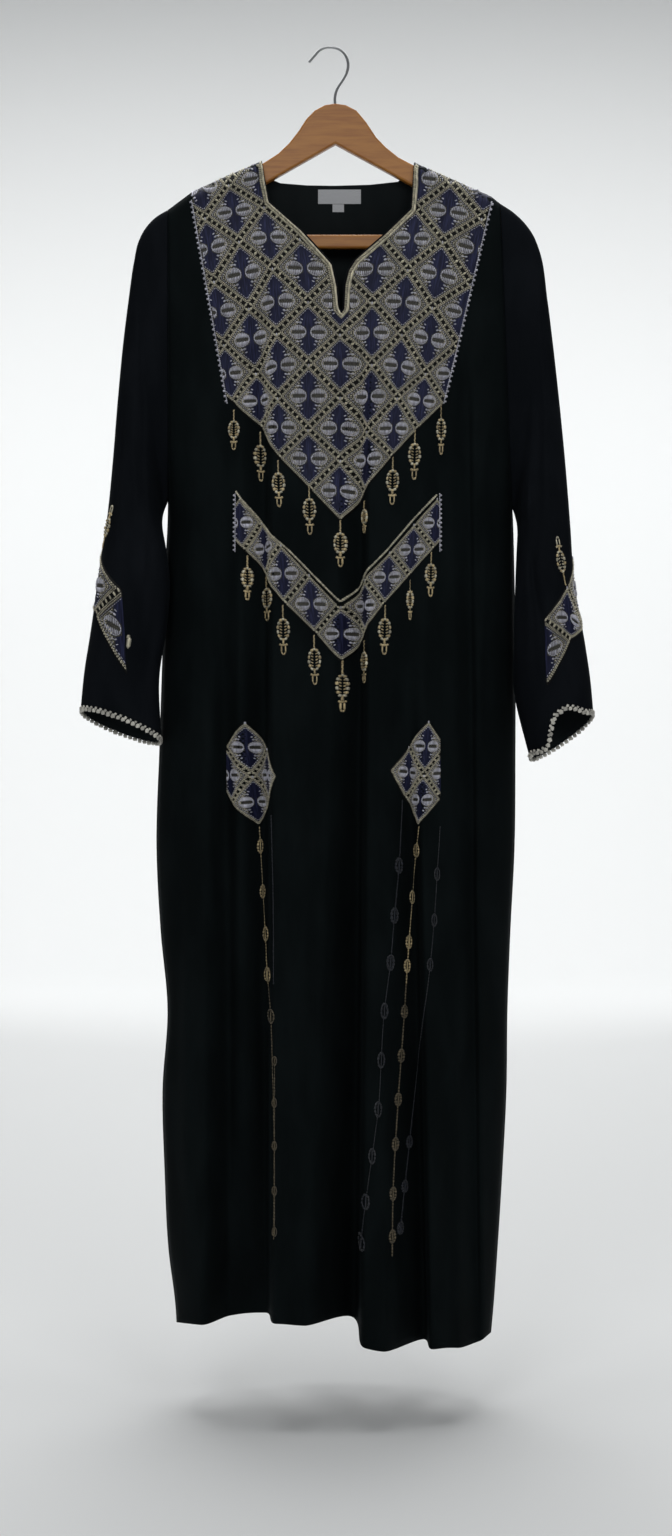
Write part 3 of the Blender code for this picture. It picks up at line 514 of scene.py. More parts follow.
def panelGrid(edge, folds, creases, hemColumn, depthName, facing, count):
    # pattern places, hung points and outward normals of the front or the back
    keys = column(edge, edgeNames, "column")
    places = columnsBetween(keys, folds, count)
    top = {name: np.interp(places, keys, column(edge, edgeNames, name)) for name in edgeNames}
    low = smooth(places, hem[:, 0], hem[:, hemColumn])
    near = cloth["near"]
    x, down, off = np.zeros((3, len(near) + count, len(places)))
    for i, step in enumerate(near):
        x[i] = top["x"] + top["layX"] * step
        down[i] = top["down"] + top["layDown"] * step
        off[i] = step
    lastX, lastDown = x[len(near) - 1].copy(), down[len(near) - 1].copy()
    startX = 0.5 * (section("left", lastDown) + section("right", lastDown))
    startX = startX + 0.5 * (section("right", lastDown) - section("left", lastDown)) * places
    middle = int(np.abs(places).argmin())
    for i in range(count):
        share = ((i + 1) / count) ** cloth["rowCrowd"]
        row = len(near) + i
        down[row] = lastDown + share * (low - lastDown)
        left, right = section("left", down[row]), section("right", down[row])
        fade = 1 - ease(share / cloth["fade"])
        x[row] = 0.5 * (left + right) + 0.5 * (right - left) * places + (lastX - startX) * fade
        for j in range(middle + 1, len(places) - 1):
            x[row, j] = max(x[row, j], x[row, j - 1] + cloth["apart"])
        for j in range(middle - 1, 0, -1):
            x[row, j] = min(x[row, j], x[row, j + 1] - cloth["apart"])
        off[row] = near[-1] + down[row] - lastDown
    left, right = section("left", down), section("right", down)
    across = np.clip((x - 0.5 * (left + right)) / (0.5 * (right - left)), -1, 1)
    across[:, 0], across[:, -1] = -1, 1
    bow = np.sqrt(1 - across**2)
    armhole = np.maximum(section("armhole", down), 0.0)
    turned = 1 - top["onArm"] * np.exp(-off / cloth["roll"])
    base = (armhole + (section(depthName, down) - armhole) * bow) * turned
    shift, inward = folded(x, down, folds)
    inward = np.minimum(inward, np.maximum(base - cloth["least"], 0.0))
    loose = ease((base - inward - 3.0) / 12.0) * ease(off / 40.0)
    inward = inward + creased(x, down, creases) * loose
    y = facing * (cloth["seam"] + base - inward)
    hung = seen(x + shift, y, down, facing * base)
    out = normalsOf(hung) * facing
    out[0, :, 1] *= 1 - top["onArm"]
    for side in (0, -1):
        below = ease((down[:, side] - cloth["underarm"]) / cloth["underarmTurn"])
        out[:, side, 0] *= below
        out[:, side, 1] *= 1 - below
    return np.stack([x, down], axis=-1), hung, out


# x and how far the front of the right cuff is turned up there, in mm
rightCuff = ((241, 0), (250, -8), (259, -11), (264, 14), (268, 21),
             (281, 21), (290, 15.5), (304, 3), (314, 0))


def sleeveGrid(table, side, creases, turnedUp=((0, 0),)):
    rows = {name: column(table, sleeveNames, name) for name in sleeveNames}
    lengths = np.hypot(np.diff(rows["overX"]), np.diff(rows["overDown"]))
    at = np.concatenate([[0], np.cumsum(lengths)])
    at /= at[-1]
    wanted = np.linspace(0, 1, cloth["sleeveRows"] + 1) ** cloth["sleeveCrowd"]
    turn = np.linspace(-1, 1, cloth["sleeveSides"] + 1)
    turn = np.sign(turn) * np.abs(turn) ** cloth["rowCrowd"] * math.pi
    ones = np.ones((len(wanted), len(turn)))
    wide = {name: smooth(wanted, at, rows[name])[:, None] * ones for name in sleeveNames}
    cos, sin = np.cos(turn)[None] * ones, np.sin(turn)[None] * ones
    front = side * np.sign(sin)
    overX, overDown, underX, underDown, depth, forward, rise = (wide[name] for name in sleeveNames)
    x = 0.5 * (overX + underX) + 0.5 * (overX - underX) * cos
    down = 0.5 * (overDown + underDown) + 0.5 * (overDown - underDown) * cos
    chord = np.hypot(overX - underX, overDown - underDown)
    pinched = 1 - np.exp(-0.5 * chord * (1 - cos) / cloth["roll"])
    pinched = np.maximum(section("armhole", down), 0.0) * pinched
    level = np.clip(0.5 * chord * (1 + cos) / cloth["pinchOver"], 0, 1)
    pinched = np.minimum(pinched, cloth["pinch"] * np.sqrt(level)) * np.sign(np.abs(sin))
    blend = ease(wanted / cloth["tubeFrom"])[:, None]
    half = (1 - blend) * pinched + blend * depth * np.abs(sin) ** cloth["tubeRound"]
    half[:, 0] = half[:, -1] = 0.0
    around = turn[None] / (2 * math.pi) * cloth["sleeveRound"] * ones * side
    dent = creased(around, wanted[:, None] * ones, creases)
    half = half - dent * ease(half / 14.0) * ease(wanted / 0.12)[:, None]
    y = front * half - forward
    down = down + rise * front * np.abs(sin)
    up = np.interp(x, *np.transpose(turnedUp))
    rim = ease((wanted - cloth["cuffFrom"]) / (1 - cloth["cuffFrom"]))[:, None]
    down = down - np.where(front < 0, up, 0.0) * rim
    hung = seen(x, y, down, -forward)
    hung[:, 0] = hung[:, -1]
    out = -normalsOf(hung, roundTube=True)
    out[0, :, 0] = 0.0
    return np.stack([around, down], axis=-1), hung, out


class Surface:
    # a hung cloth, read by places on its flat pattern
    def __init__(self, flat, hung, out):
        self.hung, self.out, self.flat = hung.reshape(-1, 3), out.reshape(-1, 3), flat.reshape(-1, 2)
        index = np.arange(flat.shape[0] * flat.shape[1]).reshape(flat.shape[:2])
        a, b, c, d = index[:-1, :-1], index[:-1, 1:], index[1:, 1:], index[1:, :-1]
        first, second = (np.stack(three, axis=-1).reshape(-1, 3) for three in ((a, b, c), (a, c, d)))
        self.corners = np.concatenate([first, second])
        points = [(x, down, 0.0) for x, down in self.flat.tolist()]
        self.tree = BVHTree.FromPolygons(points, self.corners.tolist())

    def spot(self, px, py):
        # flat places of what the picture shows at those pixels, on the side that faces the camera
        near = 1 + np.minimum(self.hung[:, 1] / mm, 0) / cloth["eye"]
        x = cloth["eyeX"] + (self.hung[:, 0] / mm - cloth["eyeX"]) / near
        down = cloth["eyeDown"] + (-self.hung[:, 2] / mm - cloth["eyeDown"]) / near
        facing = self.out[:, 1] < 0.25
        shown, flat = np.stack([x, down], axis=-1)[facing], self.flat[facing]
        places = []
        for point in np.stack(chart(px, py), axis=-1).reshape(-1, 2):
            away = np.linalg.norm(shown - point, axis=1)
            close = np.argsort(away)[:4]
            weight = 1 / (away[close] + 0.05) ** 2
            places.append((flat[close] * weight[:, None]).sum(axis=0) / weight.sum())
        return np.array(places)

    def place(self, places, lift=0.0):
        # points lift millimetres outside the middle of the cloth, and how far off the pattern they are
        nearest = [self.tree.find_nearest((px, py, 0.0)) for px, py in places.tolist()]
        found = np.array([spot[0][:2] for spot in nearest])
        corners = self.corners[[spot[2] for spot in nearest]]
        away = np.array([spot[3] for spot in nearest])
        a, b, c = (self.flat[corners[:, k]] for k in range(3))

        def cross(p, q):
            return p[:, 0] * q[:, 1] - q[:, 0] * p[:, 1]

        whole = cross(b - a, c - a)
        whole = np.where(np.abs(whole) < 1e-9, 1e-9, whole)
        v, w = cross(found - a, c - a) / whole, cross(b - a, found - a) / whole
        share = np.clip(np.stack([1 - v - w, v, w], axis=-1), 0, 1)
        share /= share.sum(axis=1, keepdims=True)
        at, out = (sum(of[corners[:, k]] * share[:, k:k + 1] for k in range(3))
                   for of in (self.hung, self.out))
        return at + unit(out) * np.broadcast_to(lift, len(places))[:, None] * mm, away


def shell(name, grid, outside, node, turned=False):
    # one grid of the cloth, moved to its hung points, with a wall of its own
    flat, hung, out = grid
    rows, columns = flat.shape[:2]
    mesh = bmesh.new()
    bmesh.ops.create_grid(mesh, x_segments=columns - 1, y_segments=rows - 1, size=1.0)
    uv = mesh.loops.layers.uv.new("pattern")
    mesh.verts.ensure_lookup_table()
    i = np.array([round((1 - vert.co.y) / 2 * (rows - 1)) for vert in mesh.verts])
    j = np.array([round((vert.co.x + 1) / 2 * (columns - 1)) for vert in mesh.verts])
    moveTo(mesh, hung[i, j])
    pattern = flat[i, j] * mm
    for face in mesh.faces:
        for loop in face.loops:
            loop[uv].uv = pattern[loop.vert.index]
    bmesh.ops.remove_doubles(mesh, verts=mesh.verts[:], dist=2e-6)
    if turned:
        bmesh.ops.reverse_faces(mesh, faces=mesh.faces[:])
    data = meshOf(name, mesh, outside, velvetBack)
    piece = addPiece(name, data, node=node, wall=cloth["thick"])
    piece.modifiers["wall"].material_offset = 1
    piece.modifiers["wall"].material_offset_rim = 0
    return piece


frontGrid = panelGrid(frontEdge, frontFolds, frontCreases, 1, "front", -1, 190)
backGrid = panelGrid(backEdge, backFolds, backCreases, 2, "back", 1, 150)
leftGrid = sleeveGrid(leftSleeve, -1, leftCreases)
rightGrid = sleeveGrid(rightSleeve, 1, rightCreases, rightCuff)
front = shell("dress_front", frontGrid, velvet, "front_panel")
back = shell("dress_back", backGrid, velvet, "back_panel", turned=True)
sleeveLeft = shell("sleeve_left_cloth", leftGrid, sleeveVelvetPaintedLight, "sleeve_left")
sleeveRight = shell("sleeve_right_cloth", rightGrid, sleeveVelvetPaintedLight, "sleeve_right")
frontCloth, leftCloth, rightCloth = Surface(*frontGrid), Surface(*leftGrid), Surface(*rightGrid)
print("cloth hung")


# ---- embroidery: diamond cells of four corners, filled and edged with raised stitches
latticeRows = np.array((-5.0, -3.0, -1.0, 1.0, 3.0, 5.0))
lattice = {"middleRow": 332, "rowPitch": 31.5}  # in pixels
latticeX = {  # picture pixels of the lattice's columns at those rows
    -5: (170, 181, 189.5, 201, 213, 228),
    -4: (200.5, 209.2, 218.7, 228.8, 238, 247),
    -3: (228.4, 238.8, 248.5, 255.3, 259.8, 263),
    -2: (258.5, 268.5, 275, 277.3, 277.7, 278.5),
    -1: (291, 299.5, 308.1, 308.7, 308.1, 309.4),
    0: (340, 340, 340, 340, 340, 340.5),
    1: (389, 381.4, 372.2, 372.2, 367.8, 365.7),
    2: (421.5, 412, 404.6, 399.6, 395.5, 391),
    3: (450.7, 442.8, 432.4, 425.8, 418, 412),
    4: (488, 476, 464.4, 451, 440, 432),
    5: (520, 508, 495, 477, 463, 452),
}
latticeDroop = {  # pixels that those columns hang below an even lattice
    -5: (22, 20, 17, 13, 8, 2),
    -4: (10.7, 10.5, 11.6, 10.8, 6, 0),
    -3: (9.5, 2.7, 6.4, 7.5, -0.6, -2),
    -2: (2, -2, -1.5, 1.5, 0.5, -1),
    -1: (0, 0, 0, -0.4, 2, 0.5),
    0: (0, 0, 1, 1, 0.8, 1),
    1: (0, 0.5, 0.4, -0.4, 3.3, 3),
    2: (4, 0, -0.5, 2.5, 0, -3),
    3: (6.9, 2.7, 5.6, 8.8, 3.3, 0),
    4: (10, 12.5, 14.2, 10, 6, 2),
    5: (18, 20, 20, 14, 8, 4),
}
chevronCells = (  # top, right, bottom, left corner of each diamond, in pixels
    ((340, 605), (366, 633), (341, 662), (315, 634)), ((309, 573), (340, 605), (315, 634), (284, 604)),
    ((281, 543), (309, 573), (284, 604), (266, 574)), ((261, 520), (281, 543), (266, 574), (243, 550)),
    ((240, 496), (261, 520), (243, 550), (221, 524)), ((366, 577.5), (384, 605), (366, 633), (340, 605)),
    ((390, 550.5), (410, 576), (384, 605), (366, 577.5)), ((414, 523), (434, 549), (410, 576), (390, 550.5)),
    ((437, 497), (457, 523), (434, 549), (414, 523)),
)
leftLozenge = (
    ((244.5, 721), (268, 747), (251.5, 775), (225, 746)), ((268, 747), (277, 776), (270, 802), (251.5, 775)),
    ((251.5, 775), (270, 802), (258.5, 827), (233, 804)), ((225, 746), (251.5, 775), (233, 804), (212, 775)),
)
rightLozenge = (
    ((428.5, 720), (446, 746), (424, 774), (409, 745)), ((409, 745), (424, 774), (404, 799), (389, 770)),
    ((424, 774), (441, 799), (419, 827), (404, 799)), ((446, 746), (460, 774), (441, 799), (424, 774)),
)
sewing = {  # millimetres
    "patchLift": 0.75, "patchWall": 0.4, "patchGrid": 12, "stitchLift": 0.95, "hangingLift": 0.7,
    "fromCut": 0.8, "fromNeck": 7.0, "offCloth": 0.05, "offPatch": 0.3, "sharedEdge": 6.0,
    "neckFrom": -0.4551, "neckTo": 0.5001,  # the front's columns that lie on the neck
}
chance = np.random.default_rng(7)
onCloth = {}  # the pieces sewn to each cloth
threads = [silver, gold, silver, gold, dropGold, dimGold, dimBlue]


def latticeAt(p, q):
    # outline-plane place of the lattice's point p columns and q rows from its middle
    i = np.clip(np.floor(p + 5).astype(int), 0, 9)
    t = p + 5 - i
    lanes = np.arange(len(q))
    found = []
    for table in (latticeX, latticeDroop):
        ways = np.array([smooth(q, latticeRows, np.array(table[k], float)) for k in range(-5, 6)])
        found.append(ways[i, lanes] * (1 - t) + ways[i + 1, lanes] * t)
    return chart(found[0], lattice["middleRow"] + lattice["rowPitch"] * q + found[1])


def unfolded(x, down):
    # the pattern's own place of a point seen at (x, down) on the folded front
    start = place = np.asarray(x, float)
    for _ in range(14):
        place = 0.5 * place + 0.5 * (start - folded(place, down, frontFolds)[0])
    return np.stack([place, down], axis=-1)


def onFront(px, py):
    return unfolded(*chart(px, py))


def insideCell(cell, dx, dy):
    # from millimetres in an even cell to the pattern, by the cell's four corners
    top, right, bottom, left = cell
    centre = cell.mean(axis=0)
    u = (dx / cellSize["halfWidth"])[:, None]
    v = (dy / cellSize["halfHeight"])[:, None]
    return centre + np.where(u > 0, u * (right - centre), -u * (left - centre)) + np.where(
        v > 0, v * (bottom - centre), -v * (top - centre))


def runAlong(start, end, pitch, length, width, height, kind):
    # stitches one after the other from start to end, in cell millimetres
    start, end = np.array(start, float), np.array(end, float)
    whole = np.linalg.norm(end - start)
    count = max(1, int(whole / pitch))
    way = (end - start) / max(whole, 1e-6)
    at = (np.arange(count) + 0.5) / count * whole
    half = 0.5 * length * way
    return [(*(m - half), *(m + half), width, height, kind) for m in start + at[:, None] * way]


def ringRows(count, half, reach, width, height, kinds, middle=0.0):
    # an oval of stitches; each reaches to both sides of its own place
    rows = []
    for k in range(count):
        turn = 2 * math.pi * (k + 0.5) / count
        x, y = half[0] * math.cos(turn), middle + half[1] * math.sin(turn)
        dx, dy = -reach[0] * math.sin(turn), reach[1] * math.cos(turn)
        rows.append((x - dx, y - dy, x + dx, y + dy, width, height, kinds[k % len(kinds)]))
    return rows


def cellStitches():
    # one diamond's stitches: lattice knots, bars between dashes, line, ovals, hooks and corner fill
    a, b, inner = cellSize["halfWidth"], cellSize["halfHeight"], cellSize["inner"]
    rows = []
    for sx, sy in ((1, -1), (1, 1), (-1, 1), (-1, -1)):
        for off, pitch, length, width, height, kind in (
                (2.9, 2.5, 2.0, 1.7, 1.5, 1), (4.5, 2.1, 1.7, 1.5, 1.3, 3), (6.5, 3.2, 2.6, 0.9, 0.9, 0)):
            left = 1 - off / inner
            rows += runAlong((0.0, sy * b * left), (sx * a * left, 0.0), pitch, length, width, height, kind)
        for off, share in ((8.3, 0.42), (10.1, 0.52), (11.9, 0.62)):
            left = 1 - off / inner
            start = (sx * a * left * share, sy * b * left * (1 - share))
            rows += runAlong(start, (sx * a * left, 0.0), 2.5, 1.7, 1.4, 1.2, 1)
    rows.append((0.0, -b + 0.8, 0.0, -b + 5.0, 1.7, 1.5, 0))
    halfX, halfY = 9.6, 7.9
    for side in (-1, 1):
        middle = side * 12.6
        for k in range(9):
            t = (k - 4) / 4.7
            x = middle + t * halfX
            for way in (-1, 1):
                rows.append((x, way * 1.7, x + 0.3 * side, way * halfY * math.sqrt(1 - t * t), 1.55, 1.5, 0))
        for k in range(20):
            one, two = 2 * math.pi * k / 20, 2 * math.pi * (k + 1.1) / 20
            rows.append((middle + halfX * math.cos(one), halfY * math.sin(one),
                         middle + halfX * math.cos(two), halfY * math.sin(two), 1.3, 1.5, 0))
        for way in (-1, 1):
            for x0, y0, x1, y1, width, height in (
                    (7.6, 10.6, 11.2, 11.8, 2.0, 1.4), (10.8, 11.8, 15.6, 11.5, 1.7, 1.3),
                    (6.2, 14.4, 9.2, 15.8, 1.4, 1.1)):
                rows.append((side * x0, way * y0, side * x1, way * y1, width, height, 0))
    return np.array(rows, float)


def edgeBars(side):
    # bars that cross the dark line of one upper edge and leave its dashes between them
    a, b = cellSize["halfWidth"], cellSize["halfHeight"]
    middles = [(side * a * at, -b * (1 - at)) for at in (np.arange(7) + 0.5) / 7]
    return np.array([(x - side * 1.5, y + 1.5, x + side * 1.5, y - 1.5, 2.6, 1.3, 3) for x, y in middles])


def dropStitches(tall, wide=1.0):
    # a hanging drop of the given height, its top at (0, 0): stem, lobed oval, crossbar and loop
    rows = []
    for k in range(7):
        y = 0.29 * tall * (k + 0.5) / 7
        lean = 0.6 if k % 2 else -0.6
        rows.append((-lean, y - 1.5, lean, y + 1.5, 1.8 * wide, 1.3, 1))
    middle, halfTall = 0.49 * tall, 0.205 * tall
    rows += ringRows(14, (6.6 * wide, halfTall), (2.2 * wide, 2.6), 3.4, 2.0, (0, 1), middle)
    for k in range(5):
        y = middle + halfTall * (k - 2) / 3.4
        for side in (-1, 1):
            rows.append((side * 1.0 * wide, y + 0.9, side * 4.6 * wide, y - 0.9, 1.7, 1.5, 3))
    rows.append((0.0, 0.69 * tall, 0.0, 0.79 * tall, 3.0 * wide, 1.7, 1))
    rows.append((-5.8 * wide, 0.80 * tall, 5.8 * wide, 0.80 * tall, 2.8, 1.6, 1))
    for side in (-1, 1):
        for x0, y0, x1, y1, width in (
                (5.0, 0.80, 3.0, 0.77, 1.8), (2.4, 0.80, 2.4, 0.96, 1.9), (2.5, 0.94, 0.0, 1.0, 1.9)):
            rows.append((side * x0 * wide, y0 * tall, side * x1 * wide, y1 * tall, width, 1.4, 3))
    return np.array(rows, float)


def toPattern(rows, place):
    # moves stitch ends through place, which gives pattern points of x and y arrays
    first, second = place(rows[:, 0], rows[:, 1]), place(rows[:, 2], rows[:, 3])
    return np.column_stack([first, second, rows[:, 4:]])


def stitchPiece(name, surface, rows, lift, finishes):
    # every stitch is a low dome with pointed ends; kind picks its finish
    along = rows[:, 2:4] - rows[:, :2]
    across = unit(np.stack([-along[:, 1], along[:, 0]], axis=1)) * rows[:, 4:5] * 0.5
    shape = np.array(((0, 0, 0.1), (0.24, -1, 0), (0.24, 0, 1), (0.24, 1, 0),
                      (0.76, -1, 0), (0.76, 0, 1), (0.76, 1, 0), (1, 0, 0.1)))
    points = rows[:, None, :2] + shape[None, :, :1] * along[:, None] + shape[None, :, 1:2] * across[:, None]
    lifts = lift + shape[None, :, 2] * rows[:, 5:6]
    placed = surface.place(points.reshape(-1, 2), lifts.reshape(-1))[0]
    faces = [[0, 2, 1], [0, 3, 2], [1, 2, 5, 4], [2, 3, 6, 5], [7, 4, 5], [7, 5, 6], [0, 1, 4, 7, 6, 3]]
    first = placed[:8] - placed[:8].mean(axis=0)
    volume = sum(np.dot(first[face[0]], np.cross(first[face[k]], first[face[k + 1]]))
                 for face in faces for k in range(1, len(face) - 1))
    if volume < 0:
        faces = [face[::-1] for face in faces]
    polygons = [[8 * n + c for c in face] for n in range(len(rows)) for face in faces]
    data = meshOf(name, (placed.tolist(), polygons), *finishes)
    toned(data, 0.45, 8, len(rows))
    kinds = np.clip(np.repeat(rows[:, 6].astype(np.int32), len(faces)), 0, len(finishes) - 1)
    data.polygons.foreach_set("material_index", kinds.astype(np.int32))
    data.update()
    addPiece(name, data, surface)


def patchPiece(name, surface, cells, cuts, node):
    # a thin patch of diamond cells, laid on the cloth; cuts are (point, direction that goes)
    mesh = bmesh.new()
    layers = [mesh.verts.layers.float.new(key) for key in ("u", "v")]
    for cell, s0, t0 in cells:
        before = len(mesh.verts)
        bmesh.ops.create_grid(mesh, x_segments=sewing["patchGrid"], y_segments=sewing["patchGrid"], size=0.5)
        mesh.verts.ensure_lookup_table()
        for vert in mesh.verts[before:]:
            s, t = vert.co.x + 0.5, vert.co.y + 0.5
            dx = np.array([(s + t - 1) * cellSize["halfWidth"]])
            dy = np.array([(s - t) * cellSize["halfHeight"]])
            vert[layers[0]], vert[layers[1]] = s0 + s, t0 + t
            vert.co = (*insideCell(cell, dx, dy)[0], 0.0)
    for point, gone in cuts:
        bmesh.ops.bisect_plane(mesh, geom=mesh.verts[:] + mesh.edges[:] + mesh.faces[:], dist=1e-4,
                               plane_co=(*point, 0), plane_no=(*gone, 0), clear_outer=True)
    placed = surface.place(np.array([vert.co[:2] for vert in mesh.verts]), sewing["patchLift"])[0]
    mesh.verts.index_update()
    far = surface.place(np.array([face.calc_center_median()[:2] for face in mesh.faces]))[1]
    lost = [face for face, off in zip(mesh.faces, far.tolist()) if off > sewing["offPatch"]]
    moveTo(mesh, placed)
    uv = mesh.loops.layers.uv.new("cells")
    for face in mesh.faces:
        # a cell's own edge belongs to the cell of its face
        floors = [math.floor(sum(vert[layer] for vert in face.verts) / len(face.verts)) for layer in layers]
        for loop in face.loops:
            loop[uv].uv = [min(max(loop.vert[layer], floor + 0.002), floor + 0.998)
                           for layer, floor in zip(layers, floors)]
    bmesh.ops.delete(mesh, geom=lost, context="FACES")
    bmesh.ops.remove_doubles(mesh, verts=mesh.verts[:], dist=3e-5)
    bmesh.ops.recalc_face_normals(mesh, faces=mesh.faces[:])
    addPiece(name, meshOf(name, mesh, patch), surface, node, sewing["patchWall"])


def away(points, line):
    # distance of each point from a polyline
    best = np.full(len(points), 1e9)
    for a, b in zip(line[:-1], line[1:]):
        way = b - a
        t = np.clip(((points - a) @ way) / max(float(way @ way), 1e-9), 0, 1)
        best = np.minimum(best, np.linalg.norm(points - a - t[:, None] * way, axis=1))
    return best


edgeColumns = np.concatenate([np.linspace(a, b, 9)[:-1] for a, b in zip(frontEdge[:-1, 0], frontEdge[1:, 0])])
edgeColumns = edgeColumns[(edgeColumns >= sewing["neckFrom"]) & (edgeColumns <= sewing["neckTo"])]
edgeAt = {name: np.interp(edgeColumns, frontEdge[:, 0], column(frontEdge, edgeNames, name))
          for name in edgeNames}


def neckLine(off):
    # the front's neck edge, off millimetres down the cloth
    return np.stack([edgeAt["x"] + edgeAt["layX"] * off, edgeAt["down"] + edgeAt["layDown"] * off], axis=-1)


def shaken(rows):
    # hand work: uneven widths and heights
    rows[:, 4] *= chance.uniform(0.85, 1.15, len(rows))
    rows[:, 5] *= chance.uniform(0.8, 1.2, len(rows))
    return rows


def within(rows, surface, cuts):
    # the stitches on the cloth that stay inside every cut line and clear of the neck trim
    middles = 0.5 * (rows[:, :2] + rows[:, 2:4])
    keep = surface.place(middles)[1] < sewing["offCloth"]
    if surface is frontCloth:
        keep &= away(middles, neckLine(0.0)) > sewing["fromNeck"]
    for point, gone in cuts:
        keep &= (middles - np.array(point)) @ (np.array(gone) / np.hypot(*gone)) < -sewing["fromCut"]
    return rows[keep]


def cellsOf(cells):
    pattern = cellStitches()
    quads = np.array([cell for cell, s0, t0 in cells])
    rows = []
    for cell in quads:
        place = lambda x, y, c=cell: insideCell(c, x, y)
        rows.append(toPattern(pattern, place))
        # an upper edge gets its bars where another cell lies past it
        for side, near, far in ((1, 1, 3), (-1, 3, 1)):
            gaps = 0.5 * (quads[:, 2] + quads[:, far]) - 0.5 * (cell[0] + cell[near])
            if np.linalg.norm(gaps, axis=1).min() < sewing["sharedEdge"]:
                rows.append(toPattern(edgeBars(side), place))
    return np.concatenate(rows)


def borderRows(line, *stitch):
    # a row of stitches, each given as pitch, length, width, height and kind
    return np.array([row for a, b in zip(line[:-1], line[1:]) for row in runAlong(a, b, *stitch)], float)


def picotRows(line, outward, pitch=5.3, size=3.0):
    # small loops that stand out past a border
    middles = borderRows(line, pitch, 1.0, 2.6, 1.6, 0)
    middles = 0.5 * (middles[:, :2] + middles[:, 2:4])
    tips = middles + np.array(outward) / np.hypot(*outward) * size
    return np.array([(*a, *b, 2.6, 1.6, 0) for a, b in zip(middles, tips)])


def cutBetween(top, low, sign):
    # a cut along the line between two picture places; what lies on the side of sign goes
    start, end = onFront(*np.transpose([top, low]))
    way = end - start
    return start, (sign * way[1], -sign * way[0])


def embroider(name, surface, cells, cuts, extra=(), node=None):
    patchPiece(name + "_patch", surface, cells, cuts, node or name)
    rows = shaken(np.concatenate([within(cellsOf(cells), surface, cuts), *extra]))
    light = np.isin(rows[:, 6], (0, 2))
    stitchPiece(name + "_silver", surface, rows[light], sewing["stitchLift"], threads)
    stitchPiece(name + "_gold", surface, rows[~light], sewing["stitchLift"], threads)
    print(name, len(rows), "stitches")


# yoke
yokeCells, yokeCuts, yokeBorders = [], [], []
for i in range(-5, 6):
    for j in range(-6, 6):
        if (i + j) % 2 and j + abs(i) <= 5:
            p = np.clip(np.array([i, i + 1, i, i - 1], float), -5, 5)
            q = np.array([j - 1, j, j + 1, j], float)
            yokeCells.append((unfolded(*latticeAt(p, q)), (i + j - 1) // 2 + 20, (i - j - 1) // 2 + 20))
for top, foot, way in (((191.5, 197), (227.5, 404), -1), ((491.5, 199), (443.5, 404), 1)):
    yokeCuts.append(cutBetween(top, foot, way))
    line = onFront(np.linspace(top[0], foot[0], 9), np.linspace(top[1] + 3, foot[1], 9))
    yokeBorders += [borderRows(line, 2.6, 3.0, 1.6, 1.4, 0), picotRows(line, (way, 0.1 * way))]
embroider("yoke", frontCloth, yokeCells, yokeCuts, yokeBorders)

# chevron
chevron = [(onFront(*np.transpose(corners)), 0, 0) for corners in chevronCells]
chevronCuts = [cutBetween((px, 480), (px, 560), way) for px, way in ((235.5, -1), (439.5, 1))]
topLine = onFront([236, 262, 288, 314, 340, 366, 389, 412, 436.8],
                  [491, 521.5, 549.5, 576, 601.5, 574.5, 548, 521, 494.5])
sideLines = [onFront([px, px], [493, 552]) for px in (235.5, 439.5)]
chevronBorders = [borderRows(topLine, 2.3, 2.6, 2.6, 1.9, 1)]
chevronBorders += [borderRows(line, 2.6, 3.0, 1.5, 1.3, 0) for line in sideLines]
chevronBorders += [picotRows(line, (way, 0)) for line, way in zip(sideLines, (-1, 1))]
embroider("chevron", frontCloth, chevron, chevronCuts, chevronBorders, "chevron_band")

# hip lozenges
for name, corners, px, way in (("left", leftLozenge, 226.3, -1), ("right", rightLozenge, 440.3, 1)):
    cells = [(onFront(*np.transpose(quad)), 0, 0) for quad in corners]
    embroider("hip_lozenge_" + name, frontCloth, cells, [cutBetween((px, 730), (px, 820), way)])


# sleeve bands, charted on the side that shows and mirrored past the overarm
def sleeveCells(name, surface):
    if name == "left":
        top, right, bottom, low = surface.spot((104, 121, 97, 127), (546, 588, 615, 673))
        left = np.array([2 * top[0] - right[0], right[1]])
        shown = [np.array([top, right, bottom, left]), np.array([right, right + low - bottom, low, bottom])]
    else:
        top, bottom, left, right, low = surface.spot((566, 571, 544, 582, 547.5), (585, 641, 618, 629, 687))
        crown = np.array([6.0, 2 * top[1] - left[1]])
        shown = [np.array([crown, (12.0 - top[0], top[1]), right, top]), np.array([top, right, bottom, left]),
                 np.array([left, bottom, low, left + low - bottom])]
    middle = shown[0][0][0]
    return shown + [(cell * (-1, 1) + (2 * middle, 0))[[0, 3, 2, 1]] for cell in shown[1:]]


for name, surface, foldTop, foldLow in (
        ("left", leftCloth, (122, 594), (127, 672)), ("right", rightCloth, (545, 622), (547, 684))):
    cells = [(cell, 0, 0) for cell in sleeveCells(name, surface)]
    start = surface.spot(*foldTop)[0]
    way = surface.spot(*foldLow)[0] - start
    hidden = [(start, (-abs(way[1]), way[0] * np.sign(way[1])))]
    embroider("sleeve_band_" + name, surface, cells, hidden)


# ---- drops, bead strings and the picked-out hangings
def hangFrom(px, py, lean=0.0):
    # local millimetres (right, down) to the front's pattern, from a picture place
    return lambda x, y: onFront(px + (x + lean * y) / pixel, py + y / pixel)


